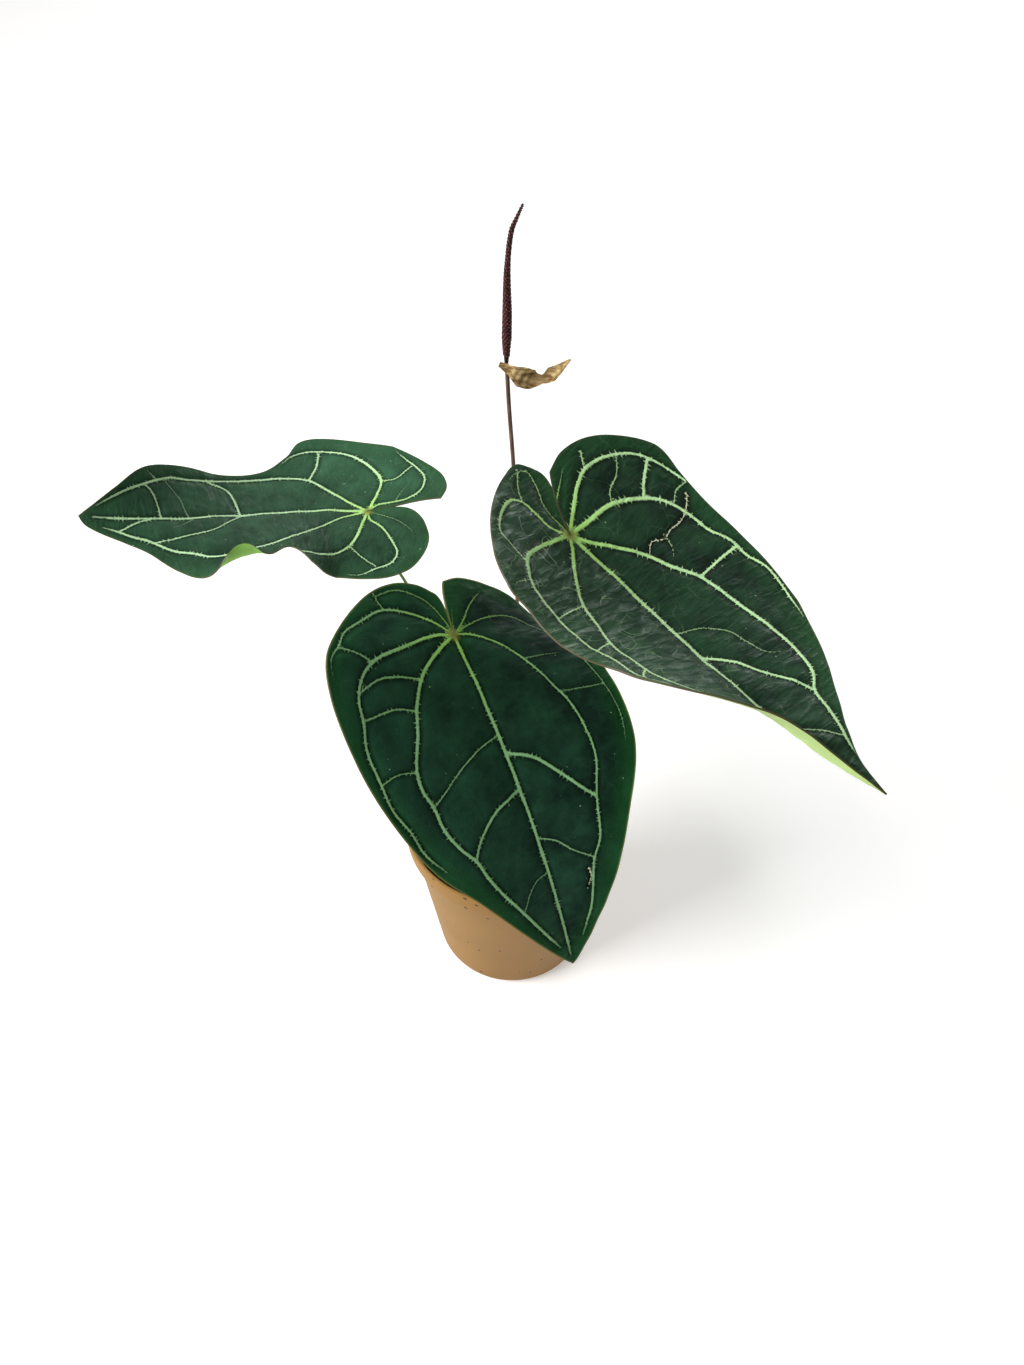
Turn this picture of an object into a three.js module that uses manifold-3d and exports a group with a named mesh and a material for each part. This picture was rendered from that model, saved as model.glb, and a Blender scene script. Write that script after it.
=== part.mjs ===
import * as THREE from "three";
import { mergeVertices } from "three/addons/utils/BufferGeometryUtils.js";
import Module from "manifold-3d";

const wasm = await Module();
wasm.setup();

// Driving sizes in millimetres: the origin is the centre of the pot's base, +Z is up.
const GAP = 0.3;
const POT = {
  height: 118,
  baseRadius: 45,
  baseRound: 7,
  neckRadius: 56,
  neckHeight: 105,
  collarRadius: 59,
  rimRadius: 60,
  wall: 1.6,
  floor: 2.4,
  baseTurn: 80,
  baseSteps: 5,
  chamfer: 0.6,
  step: 1,
  sectors: 48,
  holeCount: 8,
  holeRadius: 4,
  holeRing: 31,
};
const SOIL = { top: 101, lump: 1.3, wave: 21, ripple: 8.6, rings: 9, sectors: 36 };
const CROWN = {
  foot: 66,
  top: 122,
  radius: 7.5,
  footTaper: 0.35,
  topTaper: 0.25,
  scars: 5,
  scarHeight: 0.35,
  dome: 0.6,
  steps: 15,
  sectors: 18,
};
const ROOT = { radius: 1.7, count: 5, leave: 12, arch: 7, dip: 3, reach: 24, depth: 78 };
const SHEATH = {
  turns: [194, 332],
  length: 30,
  halfWidth: 5,
  foot: 109,
  lean: 2.2,
  flare: 3,
  thickness: 0.6,
  rows: 8,
  columns: 3,
};
const BLADE = { thickness: 0.7, rows: 30, columns: 6, lobeShare: 0.24, arcSteps: 12 };
const PETIOLE = {
  foot: 1.7,
  middle: 0.8,
  footShare: 0.4,
  joint: 1.2,
  jointLength: 14,
  steps: 30,
  sides: 8,
};
const SPADIX = { steps: 34, sides: 14, floret: 0.12 };
const SPATHE = { thickness: 0.6, cup: 0.45, lean: 45, leanFrom: 0.2, leanTo: 0.7, rows: 20, columns: 4 };

// Each blade is drawn flat, then bent. Flat places are [across, along] from where the stalk joins.
// Roll, fold and curl are degrees at the joint, half way and at the tip of the midrib.
const BLADES = {
  left: {
    length: 144,
    width: 52,
    midrib: [[-75, 96, 249], [-122, 110, 241], [-159, 67, 263], [-207, 58, 277]],
    roll: [2, 1, 65],
    right: {
      margin: [
        [12, -36], [20, -37], [28, -32], [35, -21], [42, -6], [48, 10], [54, 26], [53, 35], [43, 41],
        [33, 52], [30, 70], [32, 92], [27, 113], [15, 128], [5, 139], [0, 144],
      ],
      sinus: [10, -25],
      fold: [6, 4, 1],
      curl: [16, 16, 11],
      waves: [],
    },
    left: {
      margin: [
        [4, -32], [13, -37], [23, -37], [34, -32], [42, -20], [46, -4], [49, 14], [49, 34],
        [42, 54], [46, 74], [43, 93], [32, 106], [19, 116], [12, 126], [5, 140], [0, 144],
      ],
      sinus: [-11, -20],
      fold: [-1, 11, 8],
      curl: [-9, -15, -27],
      waves: [{ at: 0.6, spread: 0.11, angle: 145, power: 4 }],
    },
  },
  front: {
    length: 165,
    width: 60,
    midrib: [[-24, -35, 290], [2, -83, 266], [19, -108, 213], [27, -116, 164]],
    roll: [17, -7, -7],
    right: {
      margin: [
        [-1, -18], [7, -23], [18, -25], [32, -22], [48, -13], [60, -2], [63, 10], [61, 30],
        [56, 53], [46, 82], [32, 105], [19, 129], [6, 154], [0, 165],
      ],
      sinus: [-4, -14],
      fold: [8, 8, 12],
      curl: [-5, -3, 0],
      waves: [],
    },
    left: {
      margin: [
        [8, -23], [18, -24], [31, -22], [46, -18], [57, -11], [62, 2], [62, 20], [60, 37],
        [56, 60], [51, 74], [40, 94], [28, 118], [15, 141], [4, 160], [0, 165],
      ],
      sinus: [4, -19],
      fold: [-2, 9, 17],
      curl: [-28, -6, 4],
      waves: [],
    },
  },
  right: {
    length: 151,
    width: 60,
    midrib: [[22, -27, 336], [69, -62, 309], [79, -108, 328], [122, -136, 318]],
    roll: [-3, 13, 36],
    right: {
      margin: [
        [-13, -21], [-8, -27], [3, -26], [14, -23], [27, -18], [37, -13], [47, -7], [54, 1], [53, 14],
        [54, 30], [53, 47], [48, 62], [42, 80], [31, 97], [20, 112], [10, 126], [4, 138], [1.6, 146], [0, 151],
      ],
      sinus: [-16, -16],
      fold: [10, 15, 23],
      curl: [29, -1, 0],
      waves: [{ at: 0.84, spread: 0.2, angle: 18, power: 0 }],
    },
    left: {
      margin: [
        [14, -18], [24, -20], [36, -18], [47, -11], [55, -1], [53, 9], [51, 21], [51, 34], [50, 48],
        [47, 65], [44, 74], [36, 94], [25, 113], [15, 127], [7, 138], [2.6, 146], [0, 151],
      ],
      sinus: [8, -13],
      fold: [12, 17, 32],
      curl: [-2, 1, 2],
      waves: [],
    },
  },
};

// Places where the stalks join their blades, and the way each stalk takes there.
const STALKS = {
  left: [
    [-4, 3, 112],
    [-12, 12, 160],
    [-44, 50, 218],
  ],
  front: [
    [-2, -5, 112],
    [-9, -10, 170],
    [-24, -20, 240],
  ],
  right: [
    [4, 4, 112],
    [10, 24, 200],
    [18, 19, 290],
  ],
};
const PEDUNCLE = {
  radius: 0.85,
  steps: 26,
  sides: 8,
  path: [
    [-1, 7, 112],
    [2.4, 12, 220],
    [1, 15.5, 328],
    [-1.2, 18.3, 364],
    [-2, 19.5, 381],
  ],
};
const SPIKE_PATH = [
  [-2.1, 19.8, 381.6],
  [-2.1, 20, 385],
  [-1.8, 20, 400],
  [-1.6, 20, 420],
  [-0.1, 20, 432.5],
  [1.5, 20, 436.4],
  [3.9, 20, 441.7],
];
const SPIKE_RADII = [0.9, 1.8, 1.7, 1.3, 0.9, 0.8, 0.35];
const SPATHE_PATH = [
  [-4.8, 18.2, 382],
  [-2.3, 17.9, 381],
  [1.5, 16.5, 379.5],
  [5.3, 17, 377],
  [9.2, 18, 375.3],
  [13, 18, 375.8],
  [16.7, 18, 378.5],
  [22.2, 18, 384],
];
const SPATHE_HALF_WIDTHS = [1.0, 2.2, 4.2, 4.0, 1.8, 2.6, 2.0, 0.3];

const DEGREE = Math.PI / 180;
const UP = new THREE.Vector3(0, 0, 1);
const points = (list) => list.map((p) => new THREE.Vector3(...p));

// The quadratic through three values, at 0, a half and 1.
function through(values, u) {
  const [start, middle, end] = values;
  return start * (1 - u) * (1 - 2 * u) + 4 * middle * u * (1 - u) + end * u * (2 * u - 1);
}

// A closed geometry as a solid for joining and cutting.
function solidOf(geometry) {
  const plain = geometry.clone();
  plain.deleteAttribute("normal");
  plain.deleteAttribute("uv");
  const merged = mergeVertices(plain, 1e-4);
  return new wasm.Manifold(
    new wasm.Mesh({
      numProp: 3,
      vertProperties: merged.attributes.position.array,
      triVerts: new Uint32Array(merged.index.array),
    }),
  );
}

function geometryOf(solid) {
  const mesh = solid.getMesh();
  const geometry = new THREE.BufferGeometry();
  geometry.setAttribute("position", new THREE.BufferAttribute(mesh.vertProperties, 3));
  geometry.setIndex(new THREE.BufferAttribute(mesh.triVerts, 1));
  return geometry;
}

function geometryFrom(vertices, triangles) {
  const geometry = new THREE.BufferGeometry();
  const coordinates = vertices.flatMap((vertex) => vertex.toArray());
  geometry.setAttribute("position", new THREE.Float32BufferAttribute(coordinates, 3));
  geometry.setIndex(triangles.flat());
  geometry.computeVertexNormals();
  return geometry;
}

// A lathe profile of [radius, height] turned about the upright axis.
function turned(profile, sectors) {
  const lathe = new THREE.LatheGeometry(
    profile.map(([radius, height]) => new THREE.Vector2(radius, height)),
    sectors,
  );
  return lathe.rotateX(Math.PI / 2);
}

// A stem along a curve: radiusAt(share of the length, angle) gives its skin.
function stem(curve, radiusAt, steps, sides) {
  const frames = curve.computeFrenetFrames(steps);
  const vertices = [curve.getPointAt(0)];
  const triangles = [];
  for (let i = 0; i <= steps; i += 1) {
    const centre = curve.getPointAt(i / steps);
    for (let k = 0; k < sides; k += 1) {
      const angle = (2 * Math.PI * k) / sides;
      const radius = radiusAt(i / steps, angle);
      const spoke = frames.normals[i].clone().multiplyScalar(Math.cos(angle) * radius);
      spoke.addScaledVector(frames.binormals[i], Math.sin(angle) * radius);
      vertices.push(centre.clone().add(spoke));
    }
  }
  vertices.push(curve.getPointAt(1));
  const last = vertices.length - 1;
  for (let k = 0; k < sides; k += 1) {
    const next = (k + 1) % sides;
    triangles.push([0, 1 + next, 1 + k]);
    triangles.push([last, last - sides + k, last - sides + next]);
    for (let i = 0; i < steps; i += 1) {
      const low = 1 + i * sides;
      triangles.push([low + k, low + next, low + sides + next]);
      triangles.push([low + k, low + sides + next, low + sides + k]);
    }
  }
  return geometryFrom(vertices, triangles);
}

// A thin sheet: its middle surface grows half the thickness both ways, and its open edges are walled.
function thickened(surface, thickness) {
  const { places, normals, triangles } = surface;
  const count = places.length;
  const upper = places.map((p, i) => p.clone().addScaledVector(normals[i], thickness / 2));
  const lower = places.map((p, i) => p.clone().addScaledVector(normals[i], -thickness / 2));
  const edges = new Map();
  for (const triangle of triangles) {
    triangle.forEach((a, k) => {
      const b = triangle[(k + 1) % 3];
      if (edges.has(`${b},${a}`)) edges.delete(`${b},${a}`);
      else edges.set(`${a},${b}`, [a, b]);
    });
  }
  const walls = [...edges.values()].flatMap(([a, b]) => [
    [b, a, count + a],
    [b, count + a, count + b],
  ]);
  const under = triangles.map(([a, b, c]) => [count + a, count + c, count + b]);
  return geometryFrom([...upper, ...lower], [...triangles, ...under, ...walls]);
}

// Collects surface points by name, so that neighbours share them.
class Surface {
  constructor() {
    this.places = [];
    this.normals = [];
    this.triangles = [];
    this.known = new Map();
  }

  vertex(name, place, normal) {
    if (!this.known.has(name)) {
      this.known.set(name, this.places.length);
      this.places.push(place);
      this.normals.push(normal);
    }
    return this.known.get(name);
  }

  quad(a, b, c, d) {
    const halves = [
      [a, b, c],
      [a, c, d],
    ];
    for (const triangle of halves) {
      if (new Set(triangle).size === 3) this.triangles.push(triangle);
    }
  }
}

// One place of a blade's midrib with its three directions: forward, right and up.
function midribFrame(blade, u) {
  const [start, leave, arrive, tip] = points(blade.midrib);
  const curve = new THREE.CubicBezierCurve3(start, leave, arrive, tip);
  const inside = Math.max(u, 0);
  const place = curve.getPoint(inside);
  if (u < 0) place.addScaledVector(leave.clone().sub(start), 3 * u);
  const forward = curve.getTangent(inside);
  const level = forward.clone().cross(UP).normalize();
  const roll = through(blade.roll, inside) * DEGREE;
  const right = level.clone().applyAxisAngle(forward, -roll);
  const up = right.clone().cross(forward);
  return { place, right, up };
}

// The bent place of a flat place: across is measured from the midrib along the surface.
function bentPlace(blade, side, across, along) {
  const half = side > 0 ? blade.right : blade.left;
  const u = along / blade.length;
  const { place, right, up } = midribFrame(blade, u);
  const step = across / BLADE.arcSteps;
  for (let k = 0; k < BLADE.arcSteps; k += 1) {
    const share = ((k + 0.5) * step) / blade.width;
    let slope = through(half.fold, u) + through(half.curl, u) * share;
    for (const wave of half.waves) {
      const swell = Math.exp(-(((u - wave.at) / wave.spread) ** 2));
      slope += wave.angle * swell * share ** wave.power;
    }
    place.addScaledVector(right, side * step * Math.cos(slope * DEGREE));
    place.addScaledVector(up, step * Math.sin(slope * DEGREE));
  }
  return place;
}

function bentNormal(blade, side, across, along) {
  if (across === 0) return midribFrame(blade, along / blade.length).up;
  const reach = 0.4;
  const here = (dx, dy) => bentPlace(blade, side, across + dx, along + dy);
  const acrossward = here(reach, 0).sub(here(-reach, 0)).multiplyScalar(side);
  const forward = here(0, reach).sub(here(0, -reach));
  return acrossward.cross(forward).normalize();
}

// Half of a blade is a grid from the back of its lobe to the tip, and from the midrib to the margin.
function addHalf(surface, blade, side) {
  const half = side > 0 ? blade.right : blade.left;
  const margin = new THREE.SplineCurve(half.margin.map(([x, y]) => new THREE.Vector2(x, y)));
  const [backX, backY] = half.margin[0];
  const sinus = new THREE.QuadraticBezierCurve(
    new THREE.Vector2(backX, backY),
    new THREE.Vector2(...half.sinus),
    new THREE.Vector2(0, 0),
  );
  const lobeRows = Math.round(BLADE.rows * BLADE.lobeShare);
  const grid = [];
  for (let i = 0; i <= BLADE.rows; i += 1) {
    const outer = margin.getPointAt(i / BLADE.rows);
    const share = (i - lobeRows) / (BLADE.rows - lobeRows);
    const inner = i < lobeRows ? sinus.getPoint(i / lobeRows) : new THREE.Vector2(0, share * blade.length);
    const row = [];
    for (let j = 0; j <= BLADE.columns; j += 1) {
      const flat = inner.clone().lerp(outer, j / BLADE.columns);
      const across = Math.abs(flat.x) < 1e-6 ? 0 : flat.x;
      const name = `${across === 0 ? 0 : side},${across.toFixed(3)},${flat.y.toFixed(3)}`;
      const place = bentPlace(blade, side, across, flat.y);
      row.push(surface.vertex(name, place, bentNormal(blade, side, across, flat.y)));
    }
    grid.push(row);
  }
  for (let i = 0; i < BLADE.rows; i += 1) {
    for (let j = 0; j < BLADE.columns; j += 1) {
      const corners = [grid[i][j], grid[i][j + 1], grid[i + 1][j + 1], grid[i + 1][j]];
      if (side < 0) corners.reverse();
      surface.quad(...corners);
    }
  }
}

function bladeGeometry(blade) {
  const surface = new Surface();
  addHalf(surface, blade, 1);
  addHalf(surface, blade, -1);
  return thickened(surface, BLADE.thickness);
}

// A petiole's way: it ends just under its blade, square to it.
function petioleCurve(name) {
  const { place, up } = midribFrame(BLADES[name], 0);
  const end = place.clone().addScaledVector(up, -BLADE.thickness / 2 - GAP);
  const before = end.clone().addScaledVector(up, -PETIOLE.jointLength);
  return new THREE.CatmullRomCurve3([...points(STALKS[name]), before, end]);
}

// A petiole is thicker at its foot and in the joint under its blade.
function petioleGeometry(curve, clearance) {
  const length = curve.getLength();
  const radiusAt = (share) => {
    const left = (1 - share) * length;
    const risen = Math.min(share / PETIOLE.footShare, 1);
    const thin = THREE.MathUtils.lerp(PETIOLE.foot, PETIOLE.middle, risen);
    const joint = (PETIOLE.joint - PETIOLE.middle) * Math.exp(-((left / PETIOLE.jointLength) ** 2));
    return thin + joint + clearance;
  };
  return stem(curve, radiusAt, PETIOLE.steps, PETIOLE.sides);
}

function peduncleGeometry(curve, clearance) {
  return stem(curve, () => PEDUNCLE.radius + clearance, PEDUNCLE.steps, PEDUNCLE.sides);
}

// A stalk's socket in the crown is the stalk grown by the clearance, with a round bottom.
function cutSocket(solid, grown, curve, radius) {
  const bottom = new THREE.SphereGeometry(radius + GAP, 12, 8);
  bottom.translate(...curve.getPoint(0).toArray());
  return solid.subtract(solidOf(grown)).subtract(solidOf(bottom));
}

// The pot's wall leans out from a round base to a neck, where a collar stands out up to the rim.
function potGeometry() {
  const flat = POT.baseRadius - POT.baseRound;
  const profile = [
    [0, 0],
    [flat, 0],
  ];
  for (let k = 1; k <= POT.baseSteps; k += 1) {
    const angle = (k / POT.baseSteps) * POT.baseTurn * DEGREE;
    const height = POT.baseRound * (1 - Math.cos(angle));
    profile.push([flat + POT.baseRound * Math.sin(angle), height]);
  }
  const collarFoot = POT.neckHeight - POT.step;
  profile.push([POT.neckRadius, collarFoot]);
  profile.push([POT.collarRadius - POT.chamfer, collarFoot]);
  profile.push([POT.collarRadius, collarFoot + POT.chamfer]);
  profile.push([POT.rimRadius, POT.height - POT.chamfer]);
  profile.push([POT.rimRadius - POT.chamfer, POT.height]);
  profile.push([POT.rimRadius - POT.wall, POT.height]);
  profile.push([POT.collarRadius - POT.wall, POT.neckHeight + POT.step]);
  profile.push([POT.neckRadius - POT.wall, collarFoot]);
  profile.push([POT.baseRadius - POT.wall, POT.baseRound + POT.step]);
  profile.push([flat, POT.floor]);
  profile.push([0, POT.floor]);
  let solid = solidOf(turned(profile, POT.sectors));
  for (let k = 0; k < POT.holeCount; k += 1) {
    const angle = (2 * Math.PI * k) / POT.holeCount;
    const drill = new THREE.CylinderGeometry(POT.holeRadius, POT.holeRadius, 4 * POT.floor, 20);
    drill.rotateX(Math.PI / 2);
    drill.translate(POT.holeRing * Math.cos(angle), POT.holeRing * Math.sin(angle), POT.floor / 2);
    solid = solid.subtract(solidOf(drill));
  }
  return geometryOf(solid);
}

// The crown is the plant's short stem: thick, ringed by leaf scars and drawn in at both ends.
function crownRadius(height) {
  const share = (height - CROWN.foot) / (CROWN.top - CROWN.foot);
  const taper = 1 - CROWN.footTaper * (1 - share) ** 2 - CROWN.topTaper * share ** 6;
  return CROWN.radius * taper + CROWN.scarHeight * Math.cos(2 * Math.PI * CROWN.scars * share);
}

// The crown with its roots, grown by a clearance where the soil makes room for them.
function crownSolid(clearance) {
  const profile = [[0, CROWN.foot - clearance]];
  for (let i = 0; i <= CROWN.steps; i += 1) {
    const height = THREE.MathUtils.lerp(CROWN.foot, CROWN.top, i / CROWN.steps);
    profile.push([crownRadius(height) + clearance, height]);
  }
  profile[1][1] = CROWN.foot - clearance;
  profile[CROWN.steps + 1][1] = CROWN.top + clearance;
  profile.push([0, CROWN.top + CROWN.dome + clearance]);
  let solid = solidOf(turned(profile, CROWN.sectors));
  for (let k = 0; k < ROOT.count; k += 1) {
    const angle = (2 * Math.PI * (k + 0.35)) / ROOT.count;
    const out = (reach, height) =>
      new THREE.Vector3(reach * Math.cos(angle), reach * Math.sin(angle), height);
    const path = new THREE.CatmullRomCurve3([
      out(CROWN.radius / 2, CROWN.top - ROOT.leave - k),
      out(ROOT.reach * 0.45, SOIL.top + ROOT.arch - k),
      out(ROOT.reach * 0.7 + k, SOIL.top - ROOT.dip),
      out(ROOT.reach + k, ROOT.depth - clearance),
    ]);
    const root = stem(path, () => ROOT.radius + clearance, 9, 6);
    solid = solid.add(solidOf(root));
  }
  return solid;
}

function soilGeometry() {
  const inner = (height) => {
    const share = (height - POT.baseRound) / (POT.neckHeight - POT.baseRound);
    return THREE.MathUtils.lerp(POT.baseRadius, POT.neckRadius, share) - POT.wall - 2 * GAP;
  };
  const foot = POT.baseRound + 2;
  const profile = [
    [0, POT.floor + GAP],
    [POT.baseRadius - POT.baseRound - 1, POT.floor + GAP],
    [inner(foot), foot],
  ];
  for (let k = 0; k <= SOIL.rings; k += 1) {
    profile.push([inner(SOIL.top) * (1 - k / SOIL.rings), SOIL.top]);
  }
  const body = turned(profile, SOIL.sectors);
  const place = body.attributes.position;
  for (let i = 0; i < place.count; i += 1) {
    if (place.getZ(i) < SOIL.top - 1e-3) continue;
    const x = place.getX(i);
    const y = place.getY(i);
    const wave = (2 * Math.PI) / SOIL.wave;
    const ripple = (2 * Math.PI) / SOIL.ripple;
    const bumps = Math.sin(wave * x + 1) * Math.cos(wave * y) + 0.6 * Math.sin(ripple * (x - y));
    place.setZ(i, SOIL.top + SOIL.lump * bumps);
  }
  return geometryOf(solidOf(body).subtract(crownSolid(GAP)));
}

// A papery sheath is a pointed shell that stands round the foot of the stalks.
function sheathGeometry(turn) {
  const { rows, columns } = SHEATH;
  const surface = new Surface();
  const grid = [];
  for (let i = 0; i <= rows; i += 1) {
    const share = i / rows;
    const width = SHEATH.halfWidth * Math.sqrt(1 - share ** 2) * (0.8 + 0.4 * share);
    const clear = CROWN.radius + GAP + SHEATH.thickness / 2;
    const radius = clear + SHEATH.lean * share + SHEATH.flare * share ** 3;
    const height = SHEATH.foot + SHEATH.length * share;
    const row = [];
    for (let j = -columns; j <= columns; j += 1) {
      const angle = turn * DEGREE + ((j / columns) * width) / radius;
      const outward = new THREE.Vector3(Math.cos(angle), Math.sin(angle), 0);
      const place = outward.clone().multiplyScalar(radius).setZ(height);
      const name = i === rows ? "tip" : `${i},${j}`;
      row.push(surface.vertex(name, place, outward));
    }
    grid.push(row);
  }
  for (let i = 0; i < rows; i += 1) {
    for (let j = 0; j < 2 * columns; j += 1) {
      surface.quad(grid[i][j], grid[i][j + 1], grid[i + 1][j + 1], grid[i + 1][j]);
    }
  }
  return thickened(surface, SHEATH.thickness);
}

// Florets are low bumps in rows that wind round the spike.
function spadixGeometry() {
  const curve = new THREE.CatmullRomCurve3(points(SPIKE_PATH));
  const last = SPIKE_RADII.length - 1;
  const radiusAt = (share, angle) => {
    const k = Math.min(Math.floor(share * last), last - 1);
    const radius = THREE.MathUtils.lerp(SPIKE_RADII[k], SPIKE_RADII[k + 1], share * last - k);
    const around = Math.cos((SPADIX.sides / 2) * angle);
    const along = Math.cos(Math.PI * SPADIX.steps * share);
    return radius * (1 + SPADIX.floret * around * along);
  };
  return stem(curve, radiusAt, SPADIX.steps, SPADIX.sides);
}

// The withered spathe is a narrow, twisted strip that hangs from the foot of the spike.
function spatheGeometry() {
  const curve = new THREE.CatmullRomCurve3(points(SPATHE_PATH));
  const last = SPATHE_HALF_WIDTHS.length - 1;
  const surface = new Surface();
  const grid = [];
  for (let i = 0; i <= SPATHE.rows; i += 1) {
    const share = i / SPATHE.rows;
    const k = Math.min(Math.floor(share * last), last - 1);
    const [before, after] = SPATHE_HALF_WIDTHS.slice(k, k + 2);
    const half = THREE.MathUtils.lerp(before, after, share * last - k);
    const forward = curve.getTangent(share);
    const turn = THREE.MathUtils.smoothstep(share, SPATHE.leanFrom, SPATHE.leanTo);
    const lean = (90 - SPATHE.lean * turn) * DEGREE;
    const side = UP.clone().cross(forward).normalize().applyAxisAngle(forward, lean);
    const out = forward.clone().cross(side).normalize();
    const row = [];
    for (let j = -SPATHE.columns; j <= SPATHE.columns; j += 1) {
      const across = j / SPATHE.columns;
      const place = curve.getPoint(share).addScaledVector(side, across * half);
      place.addScaledVector(out, SPATHE.cup * half * across ** 2);
      const normal = out.clone().addScaledVector(side, -2 * SPATHE.cup * across).normalize();
      row.push(surface.vertex(`${i},${j}`, place, normal));
    }
    grid.push(row);
  }
  for (let i = 0; i < SPATHE.rows; i += 1) {
    for (let j = 0; j < 2 * SPATHE.columns; j += 1) {
      surface.quad(grid[i][j], grid[i + 1][j], grid[i + 1][j + 1], grid[i][j + 1]);
    }
  }
  return thickened(surface, SPATHE.thickness);
}

const MATERIALS = {
  pot: new THREE.MeshStandardMaterial({ color: 0xc9a376, roughness: 0.75, metalness: 0 }),
  soil: new THREE.MeshStandardMaterial({ color: 0x3a2c22, roughness: 1, metalness: 0 }),
  crown: new THREE.MeshStandardMaterial({ color: 0x6b6a3c, roughness: 0.8, metalness: 0 }),
  sheath: new THREE.MeshStandardMaterial({ color: 0x7a5836, roughness: 0.9, metalness: 0 }),
  petiole: new THREE.MeshStandardMaterial({ color: 0x5f6a38, roughness: 0.6, metalness: 0 }),
  bladeLeft: new THREE.MeshStandardMaterial({ color: 0x3a5a45, roughness: 0.6, metalness: 0 }),
  bladeDark: new THREE.MeshStandardMaterial({ color: 0x1e3a2c, roughness: 0.6, metalness: 0 }),
  peduncle: new THREE.MeshStandardMaterial({ color: 0x5b4a3c, roughness: 0.6, metalness: 0 }),
  spathe: new THREE.MeshStandardMaterial({ color: 0xa97f4a, roughness: 0.85, metalness: 0 }),
  spadix: new THREE.MeshStandardMaterial({ color: 0x4a1f1c, roughness: 0.7, metalness: 0 }),
};

const plant = new THREE.Group();

function addPiece(name, geometry, material) {
  const mesh = new THREE.Mesh(geometry, material);
  mesh.name = name;
  plant.add(mesh);
}

addPiece("pot", potGeometry(), MATERIALS.pot);
addPiece("soil", soilGeometry(), MATERIALS.soil);
let crown = crownSolid(0);
for (const [name, blade] of Object.entries(BLADES)) {
  const skin = name === "left" ? MATERIALS.bladeLeft : MATERIALS.bladeDark;
  const curve = petioleCurve(name);
  addPiece(`leaf_${name}`, bladeGeometry(blade), skin);
  addPiece(`petiole_${name}`, petioleGeometry(curve, 0), MATERIALS.petiole);
  crown = cutSocket(crown, petioleGeometry(curve, GAP), curve, PETIOLE.foot);
}
const stalk = new THREE.CatmullRomCurve3(points(PEDUNCLE.path));
addPiece("peduncle", peduncleGeometry(stalk, 0), MATERIALS.peduncle);
crown = cutSocket(crown, peduncleGeometry(stalk, GAP), stalk, PEDUNCLE.radius);
addPiece("crown", geometryOf(crown), MATERIALS.crown);
SHEATH.turns.forEach((turn, k) => {
  addPiece(`sheath_${k + 1}`, sheathGeometry(turn), MATERIALS.sheath);
});
addPiece("spathe", spatheGeometry(), MATERIALS.spathe);
addPiece("spadix", spadixGeometry(), MATERIALS.spadix);

export default plant;
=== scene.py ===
# %% [markdown]
# # A potted anthurium
# A house plant in its nursery pot: a short ringed stem in a bark mix, three velvety heart-shaped
# blades on thin stalks, and a dark flower spike above a withered bract. Each new piece takes the
# place of one of its solids and keeps that solid's form, so nothing has to be fitted afterwards.
# Sizes are in millimetres, and MM turns them into metres.

# %% Load the frame
import math

import bmesh
import bpy
import numpy as np
from mathutils import Matrix, Vector, noise


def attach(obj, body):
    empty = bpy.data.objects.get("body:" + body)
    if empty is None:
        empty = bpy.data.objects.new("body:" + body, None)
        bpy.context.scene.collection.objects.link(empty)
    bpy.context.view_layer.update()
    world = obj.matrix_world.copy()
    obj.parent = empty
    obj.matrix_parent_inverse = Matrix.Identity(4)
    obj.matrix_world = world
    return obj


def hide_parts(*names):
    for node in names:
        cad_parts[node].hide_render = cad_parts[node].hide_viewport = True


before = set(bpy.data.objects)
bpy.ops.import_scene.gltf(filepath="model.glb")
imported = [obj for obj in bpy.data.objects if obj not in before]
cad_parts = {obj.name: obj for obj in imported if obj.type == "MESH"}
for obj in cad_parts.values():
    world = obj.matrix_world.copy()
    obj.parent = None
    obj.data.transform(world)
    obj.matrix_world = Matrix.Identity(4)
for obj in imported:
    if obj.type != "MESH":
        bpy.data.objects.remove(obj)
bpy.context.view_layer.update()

MM = 0.001
print("nodes:", sorted(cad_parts))

# %% [markdown]
# ## The camera
# The photograph looks down on the plant from the front, from about the height of a standing
# person's hands. The eye's place and its tilt come from the pot and the blades: with a 28 mm lens
# on a 36 mm tall film, the pot's rim, wall and base all fall where the photograph shows them.

# %% Camera
LENS = 28.0
FILM_HEIGHT = 36.0
EYE = (0.0, -341.2, 598.7)
LOOK_DOWN = 47.8

camera_data = bpy.data.cameras.new("camera")
camera_data.lens = LENS
camera_data.sensor_fit = "VERTICAL"
camera_data.sensor_height = FILM_HEIGHT
camera = bpy.data.objects.new("camera", camera_data)
camera.location = Vector(EYE) * MM
camera.rotation_euler = (math.radians(90 - LOOK_DOWN), 0, 0)
bpy.context.scene.collection.objects.link(camera)
bpy.context.scene.camera = camera
print("camera", tuple(round(v, 4) for v in camera.location))

# %% [markdown]
# ## Two helpers for materials
# A colour picked from a picture is an sRGB hex value, and a shader wants linear light, so one
# function turns the first into the second. Node trees are long to write by hand, so one small
# function adds any node with its settings and its links.

# %% Colour and node helpers
def linear(hex_colour):
    """An sRGB colour such as "#c9a376" as linear red, green, blue and alpha."""
    shares = [int(hex_colour[i:i + 2], 16) / 255 for i in (1, 3, 5)]
    return [s / 12.92 if s <= 0.04045 else ((s + 0.055) / 1.055) ** 2.4 for s in shares] + [1.0]


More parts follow.
